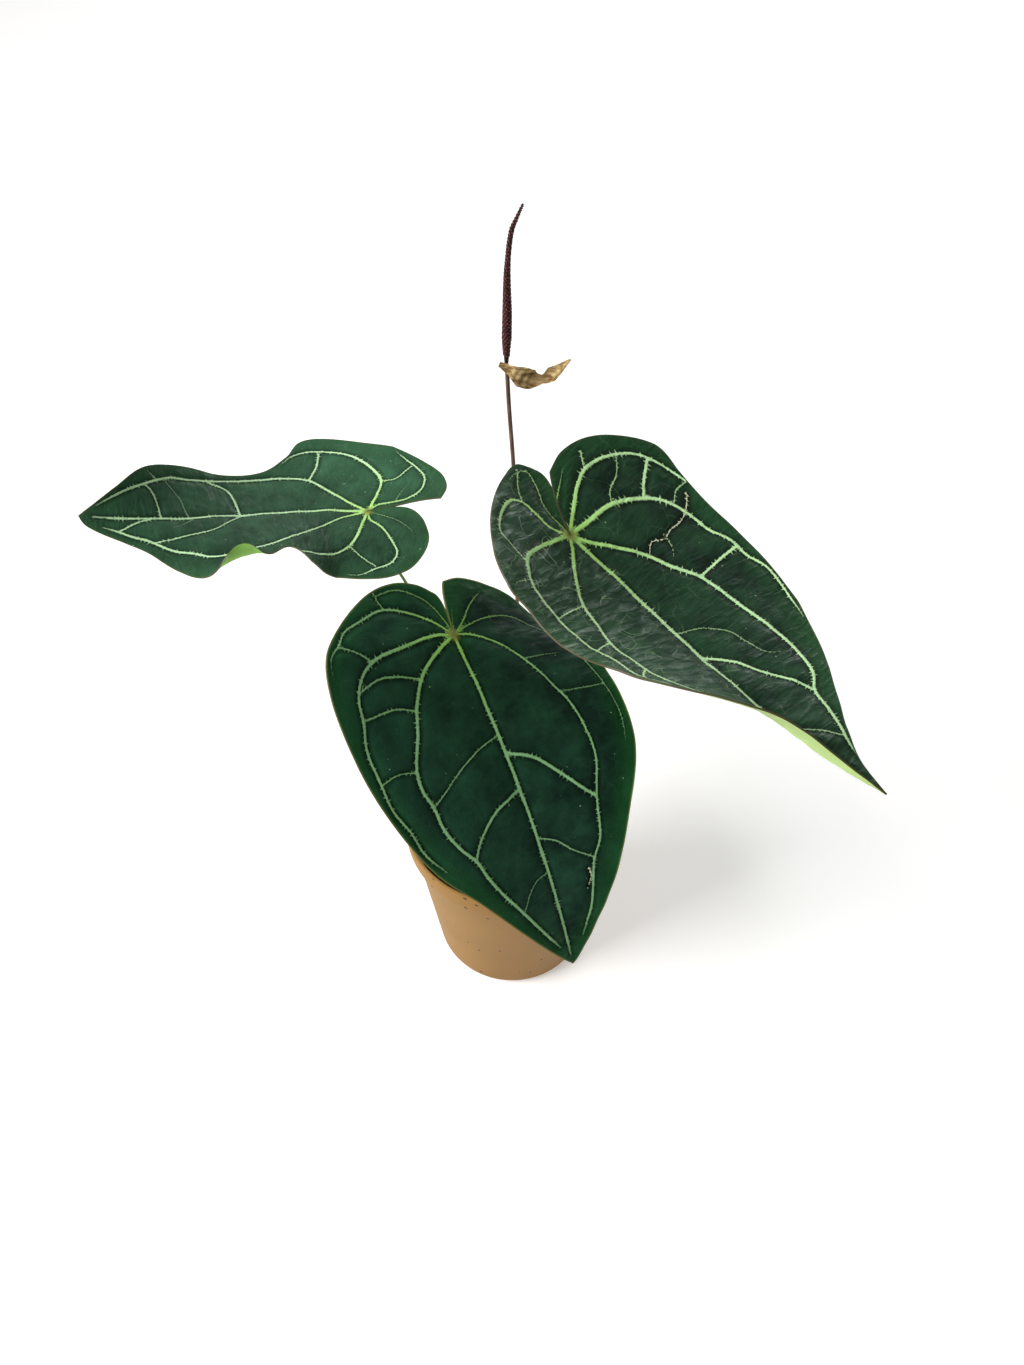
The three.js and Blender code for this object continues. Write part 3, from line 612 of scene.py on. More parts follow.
# %% Vein routes
VEINS = {
    "left": {
        "right": (
            (1.0, 0.7, 1.0, ((0, 0), (7, 13), (18, 25), (25, 33), (28, 45), (27, 59), (25, 79), (24, 92),
                             (24, 99), (21, 107), (18, 114), (14, 123), (10, 130), (4, 139))),
            (0.9, 0.8, 1.0, ((0, 70), (7, 70), (19, 72), (24, 80))),
            (0.6, 0.6, 0.9, ((0, 108), (9, 109), (15, 111), (18, 114))),
            (0.3, 0.4, 0.4, ((0, 95), (6, 96), (12, 97), (19, 101), (23, 104))),
            (0.5, 0.2, 0.8, ((22, 108), (25, 111), (28, 112))),
            (1.2, 0.5, 1.0, ((0, 0), (11, -1), (22, 0), (32, 7), (40, 15), (44, 22), (46, 32), (43, 39),
                             (37, 44))),
            (0.6, 0.7, 0.9, ((44, 28), (35, 29), (25, 32))),
            (0.5, 0.5, 0.9, ((22, 0), (24, -7), (32, -14))),
            (0.9, 0.5, 0.9, ((0, 0), (5, -4), (8, -12), (11, -19), (17, -24), (26, -23), (31, -18), (37, -9),
                             (42, -2))),
            (0.3, 0.2, 0.4, ((8, -12), (16, -14), (22, -17))),
        ),
        "left": (
            (0.9, 0.7, 1.0, ((0, 0), (5, 11), (14, 23), (23, 37), (29, 52), (33, 66), (33, 80), (30, 92),
                             (25, 98), (20, 106), (15, 112), (12, 116), (10, 121), (7, 127), (4, 136))),
            (0.5, 0.5, 0.9, ((0, 69), (4, 75), (10, 84), (12, 92), (13, 102), (14, 113))),
            (0.6, 0.5, 0.9, ((0, 111), (2, 118), (7, 127))),
            (0.3, 0.2, 0.4, ((0, 92), (4, 98), (7, 105))),
            (1.2, 0.7, 1.0, ((0, 0), (8, 0), (19, -1), (27, 1), (34, 8), (39, 23), (41, 45), (38, 59))),
            (0.4, 0.4, 0.8, ((26, 0), (32, -9), (35, -16))),
            (0.8, 0.5, 0.9, ((0, 0), (5, -3), (10, -11), (18, -19), (25, -24), (31, -23), (37, -16),
                             (42, -11), (44, -4))),
            (0.3, 0.2, 0.4, ((0, 0), (2, -9), (6, -20), (13, -30))),
        ),
    },
    "front": {
        "right": (
            (1.0, 0.8, 1.0, ((0, 0), (11, 5), (22, 12), (29, 21), (33, 31), (38, 41), (39, 50), (37, 58),
                             (36, 68), (32, 79), (28, 86), (26, 94), (23, 103), (17, 117), (7, 142),
                             (3, 152))),
            (0.9, 0.6, 1.0, ((0, 0), (11, -1), (28, 1), (41, 3), (48, 7), (52, 13), (53, 21), (55, 29),
                             (54, 41), (53, 52), (49, 63), (47, 73), (40, 86))),
            (0.8, 0.4, 0.9, ((0, 0), (5, -5), (14, -11), (27, -15), (40, -12), (49, -9), (53, -5), (59, 0),
                             (60, 6))),
            (0.4, 0.3, 0.6, ((0, 0), (1, -7), (5, -15), (12, -20), (19, -22), (28, -21))),
            (0.4, 0.4, 0.8, ((29, -22), (27, -15))),
            (0.5, 0.5, 0.8, ((54, -4), (48, -1), (42, 3))),
            (0.5, 0.5, 0.8, ((23, 13), (33, 10), (41, 9), (50, 11))),
            (0.5, 0.5, 0.8, ((30, 23), (38, 20), (52, 20))),
            (0.4, 0.4, 0.8, ((39, 43), (46, 41), (54, 42))),
            (0.4, 0.5, 0.8, ((0, 43), (10, 45), (20, 49), (29, 54), (37, 58))),
            (0.9, 0.7, 0.9, ((0, 67), (7, 69), (13, 71), (20, 76), (25, 81), (28, 86))),
            (0.4, 0.4, 0.6, ((0, 107), (6, 108), (11, 112), (15, 118))),
        ),
        "left": (
            (0.7, 0.6, 0.8, ((0, 0), (8, 1), (22, 11), (28, 22), (32, 33), (35, 42), (36, 55), (35, 67),
                             (32, 75), (29, 83), (27, 92), (25, 100), (20, 109), (17, 120), (13, 134),
                             (6, 150))),
            (0.4, 0.3, 0.6, ((0, 0), (10, -3), (25, -5), (40, -4), (50, 4), (54, 18), (54, 32), (54, 45),
                             (53, 57), (49, 68))),
            (0.5, 0.3, 0.7, ((0, 0), (7, -4), (17, -12), (29, -18))),
            (0.4, 0.2, 0.6, ((0, 0), (3, -6), (6, -12))),
            (1.0, 0.9, 0.9, ((0, 51), (10, 57), (18, 67), (25, 77), (29, 82))),
            (0.5, 0.5, 0.7, ((0, 90), (7, 94), (13, 101), (21, 108))),
            (0.3, 0.2, 1.4, ((17, 112), (17, 116), (15, 120))),
            (0.3, 0.3, 0.5, ((26, 18), (34, 19), (41, 20), (47, 21))),
            (0.3, 0.3, 0.5, ((34, 37), (45, 40), (54, 42))),
        ),
    },
    "right": {
        "right": (
            (1.0, 0.7, 1.0, ((0, 0), (5, 4), (14, 11), (25, 24), (29, 36), (32, 46), (33, 58), (33, 68),
                             (33, 81), (30, 96), (23, 110), (13, 126))),
            (1.1, 0.6, 1.0, ((0, 0), (6, -1), (18, -3), (26, -3), (33, 0), (38, 5), (41, 13), (42, 24),
                             (43, 38), (42, 50), (40, 62), (40, 75), (38, 88), (31, 98))),
            (0.9, 0.5, 1.0, ((0, 0), (4, -5), (4, -11), (4, -16), (7, -19), (13, -19), (23, -16), (28, -13),
                             (29, -7), (30, -2))),
            (0.3, 0.3, 0.7, ((0, 0), (-1, -5), (-2, -11), (-7, -18), (-9, -23), (-4, -25), (2, -24))),
            (0.3, 0.3, 0.7, ((-6, -25), (0, -21), (4, -17))),
            (0.6, 0.6, 0.9, ((26, 24), (35, 24), (42, 25))),
            (0.6, 0.6, 0.9, ((32, 47), (37, 48), (42, 50))),
            (0.6, 0.6, 0.9, ((33, 68), (37, 71), (40, 75))),
            (0.3, 0.2, 0.9, ((40, 3), (45, 2), (52, 3))),
        ),
        "left": (
            (1.1, 0.7, 1.0, ((0, 0), (3, 5), (9, 12), (16, 21), (20, 30), (25, 39), (27, 50), (29, 65),
                             (30, 78), (29, 89), (26, 99), (21, 105), (18, 115), (15, 123), (11, 130),
                             (6, 141))),
            (1.2, 0.5, 1.0, ((0, 0), (9, 1), (21, 2), (31, 6), (38, 11), (42, 20), (43, 28), (46, 35),
                             (46, 42), (48, 50), (47, 58), (45, 66), (42, 77))),
            (1.0, 0.6, 1.0, ((0, 0), (10, -5), (18, -9), (25, -11), (34, -10), (43, -6), (47, -2), (50, 4),
                             (52, 12))),
            (0.4, 0.3, 0.8, ((0, 0), (3, -5), (7, -10), (13, -13), (19, -16))),
            (0.7, 0.7, 1.0, ((48, 0), (39, 4), (34, 7))),
            (0.8, 0.7, 1.0, ((46, 38), (37, 38), (26, 39))),
            (0.3, 0.3, 0.7, ((39, -7), (33, -3), (26, -1), (22, 2))),
            (0.3, 0.3, 0.7, ((40, 15), (46, 12), (51, 12))),
            (0.4, 0.3, 0.8, ((30, -16), (25, -11))),
            (0.8, 0.7, 1.0, ((0, 66), (8, 75), (12, 84), (18, 96), (21, 105))),
            (0.3, 0.3, 0.5, ((0, 52), (9, 56), (16, 63), (18, 71), (20, 79), (26, 84))),
            (0.4, 0.4, 0.8, ((0, 112), (5, 117), (9, 122), (12, 128))),
            (0.3, 0.2, 1.4, ((48, 15), (41, 19), (36, 20), (31, 20), (27, 21), (22, 19), (17, 22))),
            (0.25, 0.15, 1.4, ((28, 20), (26, 25), (23, 28))),
        ),
    },
}
MIDRIB_HALF_WIDTHS = {"left": (1.3, 0.6), "front": (1.1, 0.7), "right": (1.3, 0.5)}


def vein_lines(name, half):
    """The veins of one half as short straight stretches, the midrib first."""
    start, end = MIDRIB_HALF_WIDTHS[name]
    rows = [(start, end, 1.0, ((0, -1), (0, BLADES[name]["length"])))] + list(VEINS[name][half])
    curves = [smooth_curve(places, 60 if len(places) > 4 else 24) for *_, places in rows]
    stretches = []
    for k, (first, last, tone, _) in enumerate(rows):
        curve = curves[k]
        travelled = np.linalg.norm(np.diff(curve, axis=0), axis=1).cumsum()
        others = np.vstack(curves[:k] + curves[k + 1:])
        open_end = np.linalg.norm(others - curve[-1], axis=1).min() > 2.5
        fade = np.minimum((travelled[-1] - travelled) / 12, 1) if open_end else np.ones(len(travelled))
        widths = np.linspace(first, last, len(travelled)) * (0.35 + 0.65 * fade)
        tones = tone * np.sqrt(fade)
        stretches.append(np.column_stack([curve[:-1], curve[1:], travelled, widths, tones]))
    return np.vstack(stretches)


def nearest(places, lines):
    """For each place the nearest line: the way to it, how far along, its half width and its tone."""
    start, end = lines[:, 0:2], lines[:, 2:4]
    span = end - start
    square = (span**2).sum(axis=1)
    found = np.empty((len(places), 5))
    for first in range(0, len(places), 2000):
        part = places[first:first + 2000]
        share = ((part[:, None] - start) * span).sum(axis=2) / square
        share = np.clip(share, 0, 1)
        away = part[:, None] - start - share[:, :, None] * span
        distance = np.linalg.norm(away, axis=2)
        best = (distance - 0.6 * lines[:, 5]).argmin(axis=1)
        row = np.arange(len(part))
        along = lines[best, 4] + share[row, best] * np.sqrt(square[best])
        found[first:first + 2000] = np.column_stack(
            [away[row, best], along, lines[best, 5], lines[best, 6]])
    return found


for name in VEINS:
    print(name, "vein stretches:", [len(vein_lines(name, half)) for half in ("right", "left")])

# %% [markdown]
# ## Velvet blades
# An anthurium's velvety blade is dark because each cell of its skin is a tiny lens that lets light
# in, so it has almost no mirror gloss, and a pale sheen where it is seen along the surface. Fine
# creases run across it, and the skin raised between them is smoother and more satin, so the
# roughness follows the same noise as the creases: `satin` is its lowest value, DULL its highest.
# The shader reads the blade's own attributes, in millimetres: `flat` is the place on the flat blade
# and the distance to the margin, `vein` the way to the nearest vein and the distance along it,
# and `vein_size` the vein's half width, its tone and the plain distance. The real veins end in
# short hairline barbs on both sides, about one every 2 mm, and between them runs a net of fine
# veins with meshes about 8 mm wide. Painted shade darkens a narrow band beside each vein, and
# painted light makes each blade lighter and greener towards its right half. On the right blade the
# net is strong on that half, where its pale lines are partly a painted sheen.

# %% Blade finishes
# One colour of each finish is the painted shade beside the veins.
FINISHES = {
    "left": {
        "deep": "#213b29", "green": "#3c6549", "rim": "#2f5736", "painted_shade_band": "#13251a", "hem": "#44582f",
        "vein": "#c6efb8", "near": "#b0e284", "net": (0.06, 0.06), "crease": 0.6,
        "sheen": 0.06, "gloss": 0.27, "satin": 0.42, "under": ("#7cab52", "#93c462", "#b4dc8a"),
    },
    # The front blade's pale hem is partly its own pale margin and partly painted light along that edge.
    "front": {
        "deep": "#13261f", "green": "#284f3a", "rim": "#205a29", "painted_shade_band": "#050c08", "hem": "#77804a",
        "vein": "#92c48a", "near": "#9bd06c", "net": (0.03, 0.03), "crease": 0.45,
        "sheen": 0.0, "gloss": 0.07, "satin": 0.42, "under": ("#557a3c", "#6c9448", "#93b867"),
    },
    # The right blade's fine net is strong on its right half: fine veins there, and also a painted pale
    # sheen.
    "right": {
        "deep": "#102619", "green": "#2a5233", "rim": "#25562b", "painted_shade_band": "#050d07", "hem": "#39502c",
        "vein": "#c8f4b2", "near": "#b2ea7c", "net": (0.34, 0.06), "crease": 0.8,
        "sheen": 0.02, "gloss": 0.6, "satin": 0.3, "under": ("#9ab56c", "#b3cb84", "#d0e4ac"),
    },
}
BARB_SPACING = 1.8
DUST_SPACING = 7.0
DULL = 0.8
SCAR_TONE = 1.4
NET_MESH = 8.0


def vein_mask(tree, ragged):
    """The flat place, its parts, and the strength of the veins with barbs and of the painted shade beside
    them.
    """
    flat = add(tree, "ShaderNodeAttribute", attribute_name="flat").outputs["Vector"]
    vein = add(tree, "ShaderNodeAttribute", attribute_name="vein").outputs["Vector"]
    size = add(tree, "ShaderNodeAttribute", attribute_name="vein_size").outputs["Vector"]
    flat_part = add(tree, "ShaderNodeSeparateXYZ", {0: flat})
    way_x, way_y, along = add(tree, "ShaderNodeSeparateXYZ", {0: vein}).outputs
    width, tone, plain = add(tree, "ShaderNodeSeparateXYZ", {0: size}).outputs
    level = add(tree, "ShaderNodeVectorMath", {0: vein, 1: (1, 1, 0)}, operation="MULTIPLY")
    close = add(tree, "ShaderNodeVectorMath", {0: level}, operation="LENGTH")
    far = add(tree, "ShaderNodeMath", {0: plain, 1: 0.5}, operation="SUBTRACT")
    away = add(tree, "ShaderNodeMath", {0: close, 1: far}, operation="MAXIMUM")
    place = add(tree, "ShaderNodeVectorMath", {0: flat, 1: (1, 1, 0)}, operation="MULTIPLY")
    rough = add(tree, "ShaderNodeTexNoise", {"Vector": place, "Scale": 1.3, "Detail": 3.0})
    shift = add(tree, "ShaderNodeMath", {0: rough, 1: 0.5}, operation="SUBTRACT")
    wobble = add(tree, "ShaderNodeMath", {0: shift, 1: ragged, 2: away}, operation="MULTIPLY_ADD")
    inner = add(tree, "ShaderNodeMath", {0: width, 1: 0.45}, operation="MULTIPLY")
    outer = add(tree, "ShaderNodeMath", {0: width, 1: 0.8}, operation="MULTIPLY")
    core = add(tree, "ShaderNodeMapRange", {0: wobble, 1: inner, 2: outer, 3: 1.0, 4: 0.0})
    count = add(tree, "ShaderNodeMath", {0: along, 1: BARB_SPACING}, operation="DIVIDE")
    index = add(tree, "ShaderNodeMath", {0: count}, operation="FLOOR")
    slant = add(tree, "ShaderNodeMath", {0: way_x, 1: way_y}, operation="ADD")
    hand = add(tree, "ShaderNodeMath", {0: slant}, operation="SIGN")
    seed = add(tree, "ShaderNodeMath", {0: hand, 1: 0.37, 2: index}, operation="MULTIPLY_ADD")
    chance = add(tree, "ShaderNodeTexWhiteNoise", {"W": seed}, noise_dimensions="1D")
    lot = add(tree, "ShaderNodeSeparateColor", {0: chance.outputs["Color"]}).outputs
    middle = add(tree, "ShaderNodeMapRange", {0: lot["Green"], 1: 0.0, 2: 1.0, 3: 0.3, 4: 0.7})
    within = add(tree, "ShaderNodeMath", {0: count}, operation="FRACT")
    aside = add(tree, "ShaderNodeMath", {0: within, 1: middle}, operation="SUBTRACT")
    offset = add(tree, "ShaderNodeMath", {0: aside}, operation="ABSOLUTE")
    rare = add(tree, "ShaderNodeMath", {0: lot["Red"], 1: 2.2}, operation="POWER")
    longest = add(tree, "ShaderNodeMath", {0: width, 1: 1.7, 2: 0.4}, operation="MULTIPLY_ADD")
    reach = add(tree, "ShaderNodeMath", {0: rare, 1: longest, 2: 0.1}, operation="MULTIPLY_ADD")
    past = add(tree, "ShaderNodeMath", {0: away, 1: inner}, operation="SUBTRACT")
    beyond = add(tree, "ShaderNodeMath", {0: past, 1: reach}, operation="DIVIDE")
    taper = add(tree, "ShaderNodeMath", {0: offset, 1: 5.0, 2: beyond}, operation="MULTIPLY_ADD")
    barb = add(tree, "ShaderNodeMapRange", {0: taper, 1: 0.7, 2: 1.15, 3: 0.85, 4: 0.0})
    both = add(tree, "ShaderNodeMath", {0: core, 1: barb}, operation="MAXIMUM")
    mask = add(tree, "ShaderNodeMath", {0: both, 1: tone}, operation="MULTIPLY")
    # Painted shade: a band 2 mm wide outside each vein is darkened, as if the valley beside it lay in shade.
    painted_shade_band = add(tree, "ShaderNodeMath", {0: outer, 1: 2.0}, operation="ADD")
    shade = add(tree, "ShaderNodeMapRange", {0: away, 1: outer, 2: painted_shade_band, 3: 1.0, 4: 0.0})
    dark = add(tree, "ShaderNodeMath", {0: shade, 1: tone}, operation="MULTIPLY")
    return place, flat_part, mask, dark, tone


def fine_net(tree, place, flat_part, strengths):
    """The net of fine veins, with its own strength on each half of the blade; a stronger half also gets a
    painted sheen from it.
    """
    bent = add(tree, "ShaderNodeTexNoise", {"Vector": place, "Scale": 0.1, "Detail": 1.0})
    warp = add(tree, "ShaderNodeVectorMath", {0: bent.outputs["Color"], 3: 9.0}, operation="SCALE")
    moved = add(tree, "ShaderNodeVectorMath", {0: place, 1: warp}, operation="ADD")
    cells = add(tree, "ShaderNodeTexVoronoi", {"Vector": moved, "Scale": 1 / NET_MESH},
                feature="DISTANCE_TO_EDGE")
    line = add(tree, "ShaderNodeMapRange", {0: cells, 1: 0.0, 2: 0.032, 3: 1.0, 4: 0.0})
    patch = add(tree, "ShaderNodeTexNoise", {"Vector": place, "Scale": 0.09, "Detail": 3.0})
    shown = add(tree, "ShaderNodeMapRange", {0: patch, 1: 0.46, 2: 0.62, 3: 0.05, 4: 1.0})
    seen = add(tree, "ShaderNodeMath", {0: line, 1: shown}, operation="MULTIPLY")
    # Painted highlight: where one half's net is stronger, its pale lines also paint that half's sheen.
    side = add(tree, "ShaderNodeMapRange", {0: flat_part.outputs["X"], 1: -6.0, 2: 6.0,
                                            3: strengths[1], 4: strengths[0]})
    return add(tree, "ShaderNodeMath", {0: seen, 1: side}, operation="MULTIPLY")


def velvet(name, look):
    """The upper face of a blade."""
    material, tree, shader = new_material(f"velvet_leaf_{name}")
    shader.inputs["IOR"].default_value = 1.36
    shader.inputs["Specular IOR Level"].default_value = look["gloss"]
    shader.inputs["Specular Tint"].default_value = linear("#c9e6d4")
    shader.inputs["Sheen Weight"].default_value = look["sheen"]
    shader.inputs["Sheen Roughness"].default_value = 0.45
    shader.inputs["Sheen Tint"].default_value = linear("#cfe3d2")
    place, flat_part, mask, dark, tone = vein_mask(tree, 0.9)
    net = fine_net(tree, place, flat_part, look["net"])
    cloud = add(tree, "ShaderNodeTexNoise",
                {"Vector": place, "Scale": 0.06, "Detail": 9.0, "Roughness": 0.62})
    # Painted light: the body turns lighter and greener towards the blade's right half, as if that half
    # caught more light; the cloud noise adds a random mottle.
    mottle_and_painted_light = add(tree, "ShaderNodeMath", {0: flat_part.outputs["X"], 1: 0.0035, 2: cloud},
              operation="MULTIPLY_ADD")
    mottle_and_painted_light_share = add(tree, "ShaderNodeMapRange", {0: mottle_and_painted_light, 1: 0.3, 2: 0.75, 3: 0.0, 4: 1.0})
    body = add(tree, "ShaderNodeMix", {0: mottle_and_painted_light_share, 6: linear(look["deep"]), 7: linear(look["green"])},
               data_type="RGBA")
    rim = add(tree, "ShaderNodeMapRange", {0: flat_part.outputs["Z"], 1: 0.0, 2: 13.0, 3: 0.5, 4: 0.0},
              interpolation_type="SMOOTHSTEP")
    edged = add(tree, "ShaderNodeMix", {0: rim, 6: body, 7: linear(look["rim"])}, data_type="RGBA")
    # Painted shade: the band beside each vein is mixed towards its dark colour.
    painted_shade_band = add(tree, "ShaderNodeMath", {0: dark, 1: 0.8}, operation="MULTIPLY")
    deep = add(tree, "ShaderNodeMix", {0: painted_shade_band, 6: edged, 7: linear(look["painted_shade_band"])}, data_type="RGBA")
    netted = add(tree, "ShaderNodeMix", {0: net, 6: deep, 7: linear(look["vein"])}, data_type="RGBA")
    out = add(tree, "ShaderNodeVectorMath", {0: place}, operation="LENGTH")
    near = add(tree, "ShaderNodeMapRange", {0: out, 1: 4.0, 2: 40.0, 3: 1.0, 4: 0.0})
    vein = add(tree, "ShaderNodeMix", {0: near, 6: linear(look["vein"]), 7: linear(look["near"])},
               data_type="RGBA")
    scarred = add(tree, "ShaderNodeMapRange", {0: tone, 1: 1.05, 2: SCAR_TONE, 3: 0.0, 4: 1.0})
    pale = add(tree, "ShaderNodeMix", {0: scarred, 6: vein, 7: linear("#d6dfb8")}, data_type="RGBA")
    veined = add(tree, "ShaderNodeMix", {0: mask, 6: netted, 7: pale}, data_type="RGBA")
    joint = add(tree, "ShaderNodeMapRange", {0: out, 1: 1.2, 2: 3.6, 3: 0.85, 4: 0.0})
    jointed = add(tree, "ShaderNodeMix", {0: joint, 6: veined, 7: linear("#7d7434")}, data_type="RGBA")
    # The hem is the margin's own colour; on the front blade it is also painted light along the edge.
    hem = add(tree, "ShaderNodeMapRange", {0: flat_part.outputs["Z"], 1: 0.15, 2: 0.8, 3: 1.0, 4: 0.0})
    hemmed = add(tree, "ShaderNodeMix", {0: hem, 6: jointed, 7: linear(look["hem"])}, data_type="RGBA")
    dust = add(tree, "ShaderNodeTexVoronoi", {"Vector": place, "Scale": 1 / DUST_SPACING},
               voronoi_dimensions="2D")
    pick = add(tree, "ShaderNodeSeparateColor", {0: dust.outputs["Color"]})
    grown = add(tree, "ShaderNodeMapRange", {0: pick, 1: 0.8, 2: 1.0, 3: 0.0, 4: 0.035})
    speck = add(tree, "ShaderNodeMath", {0: dust.outputs["Distance"], 1: grown}, operation="LESS_THAN")
    dusty = add(tree, "ShaderNodeMix", {0: speck, 6: hemmed, 7: linear("#a9c3a2")}, data_type="RGBA")
    tree.links.new(dusty.outputs[2], shader.inputs["Base Color"])
    creased = add(tree, "ShaderNodeMapping", {"Vector": place, "Scale": (0.09, 0.34, 1.0)})
    crease = add(tree, "ShaderNodeTexNoise", {"Vector": creased, "Scale": 1.0, "Detail": 4.0,
                                                         "Distortion": 0.8})
    satin = add(tree, "ShaderNodeMapRange", {0: crease, 1: 0.42, 2: 0.66, 3: DULL, 4: look["satin"]})
    tree.links.new(satin.outputs[0], shader.inputs["Roughness"])
    creases = add(tree, "ShaderNodeMath", {0: crease, 1: look["crease"]}, operation="MULTIPLY")
    raised = add(tree, "ShaderNodeMath", {0: mask, 1: 0.35, 2: creases}, operation="MULTIPLY_ADD")
    netting = add(tree, "ShaderNodeMath", {0: net, 1: 0.12, 2: raised}, operation="MULTIPLY_ADD")
    grain = add(tree, "ShaderNodeTexNoise", {"Vector": place, "Scale": 0.7, "Detail": 4.0, "Roughness": 0.6})
    height = add(tree, "ShaderNodeMath", {0: grain, 1: 0.16, 2: netting}, operation="MULTIPLY_ADD")
    bump = add(tree, "ShaderNodeBump", {"Height": height, "Distance": MM, "Strength": 1.0})
    tree.links.new(bump.outputs[0], shader.inputs["Normal"])
    return material


def underside(name, dark, light, vein):
    """The lower face: paler, dull, and with its veins standing out; its greens are partly its own and partly
    painted light shining through.
    """
    material, tree, shader = new_material(f"leaf_underside_{name}", Roughness=0.6, IOR=1.36)
    shader.inputs["Specular IOR Level"].default_value = 0.25
    place, flat_part, mask, _, _ = vein_mask(tree, 0.3)
    net = fine_net(tree, place, flat_part, (0.5, 0.5))
    cloud = add(tree, "ShaderNodeTexNoise", {"Vector": place, "Scale": 0.08, "Detail": 4.0})
    # Painted light: these greens are partly the underside's own paler colour and partly light shining
    # through the thin blade.
    body = add(tree, "ShaderNodeMix", {0: cloud, 6: linear(dark), 7: linear(light)}, data_type="RGBA")
    netted = add(tree, "ShaderNodeMix", {0: net, 6: body, 7: linear(vein)}, data_type="RGBA")
    veined = add(tree, "ShaderNodeMix", {0: mask, 6: netted, 7: linear(vein)}, data_type="RGBA")
    tree.links.new(veined.outputs[2], shader.inputs["Base Color"])
    both = add(tree, "ShaderNodeMath", {0: net, 1: 0.3, 2: mask}, operation="MULTIPLY_ADD")
    bump = add(tree, "ShaderNodeBump", {"Height": both, "Distance": 0.5 * MM, "Strength": 1.0})
    tree.links.new(bump.outputs[0], shader.inputs["Normal"])
    return material


def leaf_edge(name, colour):
    """The cut edge of a blade, a firm dry line; on the front blade its paler colour is partly painted light.
    """
    material, tree, shader = new_material(f"leaf_margin_{name}", Roughness=0.55)
    flat = add(tree, "ShaderNodeAttribute", attribute_name="flat").outputs["Vector"]
    change = add(tree, "ShaderNodeTexNoise", {"Vector": flat, "Scale": 0.2, "Detail": 3.0})
    tint = add(tree, "ShaderNodeMix", {0: change, 6: linear(colour), 7: linear("#5b3a24")}, data_type="RGBA")
    tree.links.new(tint.outputs[2], shader.inputs["Base Color"])
    return material


# %% [markdown]
# ## Bending the blades
# Each half of a blade is one bmesh grid. Its rows run from the back of the lobe to the tip and
# its columns from the midrib out to the margin, so the cells follow the leaf. The grid is moved to
# the flat outline, bent, and the halves are joined at the midrib. Then the skin is pushed along
# its normals: veins lie in shallow valleys with a low ridge in them, the skin between swells a
# little like a quilt, and the margin ripples. Solidify gives the sheet its 0.7 mm wall, with
# separate finishes for the upper face, the underside and the margin.

# %% Blades
RELIEF = {"valley": 0.8, "valley_width": 2.4, "rib": 0.5, "quilt": 0.8, "quilt_size": 15,
          "wrinkle": 0.22, "wrinkle_size": 4.5, "ripple": 0.5, "ripple_size": 11}


def add_half(bm, name, side, layers):
    """Add one half of a blade, bent, with its attributes filled in."""
    blade = BLADES[name]
    key = "right" if side > 0 else "left"
    rows = BLADE["rows"]
    made = bmesh.ops.create_grid(bm, x_segments=BLADE["columns"], y_segments=rows, size=0.5)["verts"]
    grid = np.array([vert.co[:] for vert in made]) + 0.5
    row, reach = np.rint(grid[:, 1] * rows).astype(int), grid[:, :1]
    outer = smooth_curve(blade[key]["margin"], rows + 1, even_knots=True)
    lobe_rows = round(rows * BLADE["lobe_share"])
    turn = np.linspace(0, 1, lobe_rows, endpoint=False)[:, None]
    notch = (1 - turn) ** 2 * outer[0] + 2 * turn * (1 - turn) * np.array(blade[key]["sinus"])
    rib = np.linspace((0, 0), (0, blade["length"]), rows - lobe_rows + 1)
    flat = np.vstack([notch, rib])[row] * (1 - reach) + outer[row] * reach
    places = bend(blade, side, flat[:, 0], flat[:, 1])
    veins = nearest(flat, vein_lines(name, key))
    outline = np.vstack([rib[0], notch[::-1], outer])
    walls = np.column_stack([outline[:-1], outline[1:], np.zeros((len(outline) - 1, 3))])
    walls = walls[np.linalg.norm(np.diff(outline, axis=0), axis=1) > 1e-6]
    margin = np.linalg.norm(nearest(flat, walls)[:, :2], axis=1)
    distance = np.linalg.norm(veins[:, :2], axis=1)
    for vert, place, here, way, far, inside in zip(made, places, flat, veins, distance, margin):
        vert.co = place
        vert[layers["flat"]] = (side * here[0], here[1], inside)
        vert[layers["vein"]] = (way[0], way[1], way[2])
        vert[layers["vein_size"]] = (way[3], way[4], far)
    if side < 0:
        bmesh.ops.reverse_faces(bm, faces=list({face for vert in made for face in vert.link_faces}))


def relief(flat, size):
    """How far the skin stands out at a place, in millimetres."""
    width, tone, far = size
    fade = min(flat.z / 4, 1)
    full = min(tone, 1)
    valley = -RELIEF["valley"] * full * math.exp(-((far / RELIEF["valley_width"]) ** 2))
    rib = RELIEF["rib"] * full * width**0.5 * math.exp(-((far / (1.1 * width)) ** 2))
    level = Vector((flat.x, flat.y, 0))
    quilt = RELIEF["quilt"] * noise.noise(level / RELIEF["quilt_size"])
    wrinkle = RELIEF["wrinkle"] * noise.noise(level / RELIEF["wrinkle_size"] + Vector((0, 0, 9)))
    ripple = RELIEF["ripple"] * noise.noise(level / RELIEF["ripple_size"] + Vector((5, 0, 3)))
    return fade * (valley + rib + quilt + wrinkle) + ripple * math.exp(-flat.z / 5)


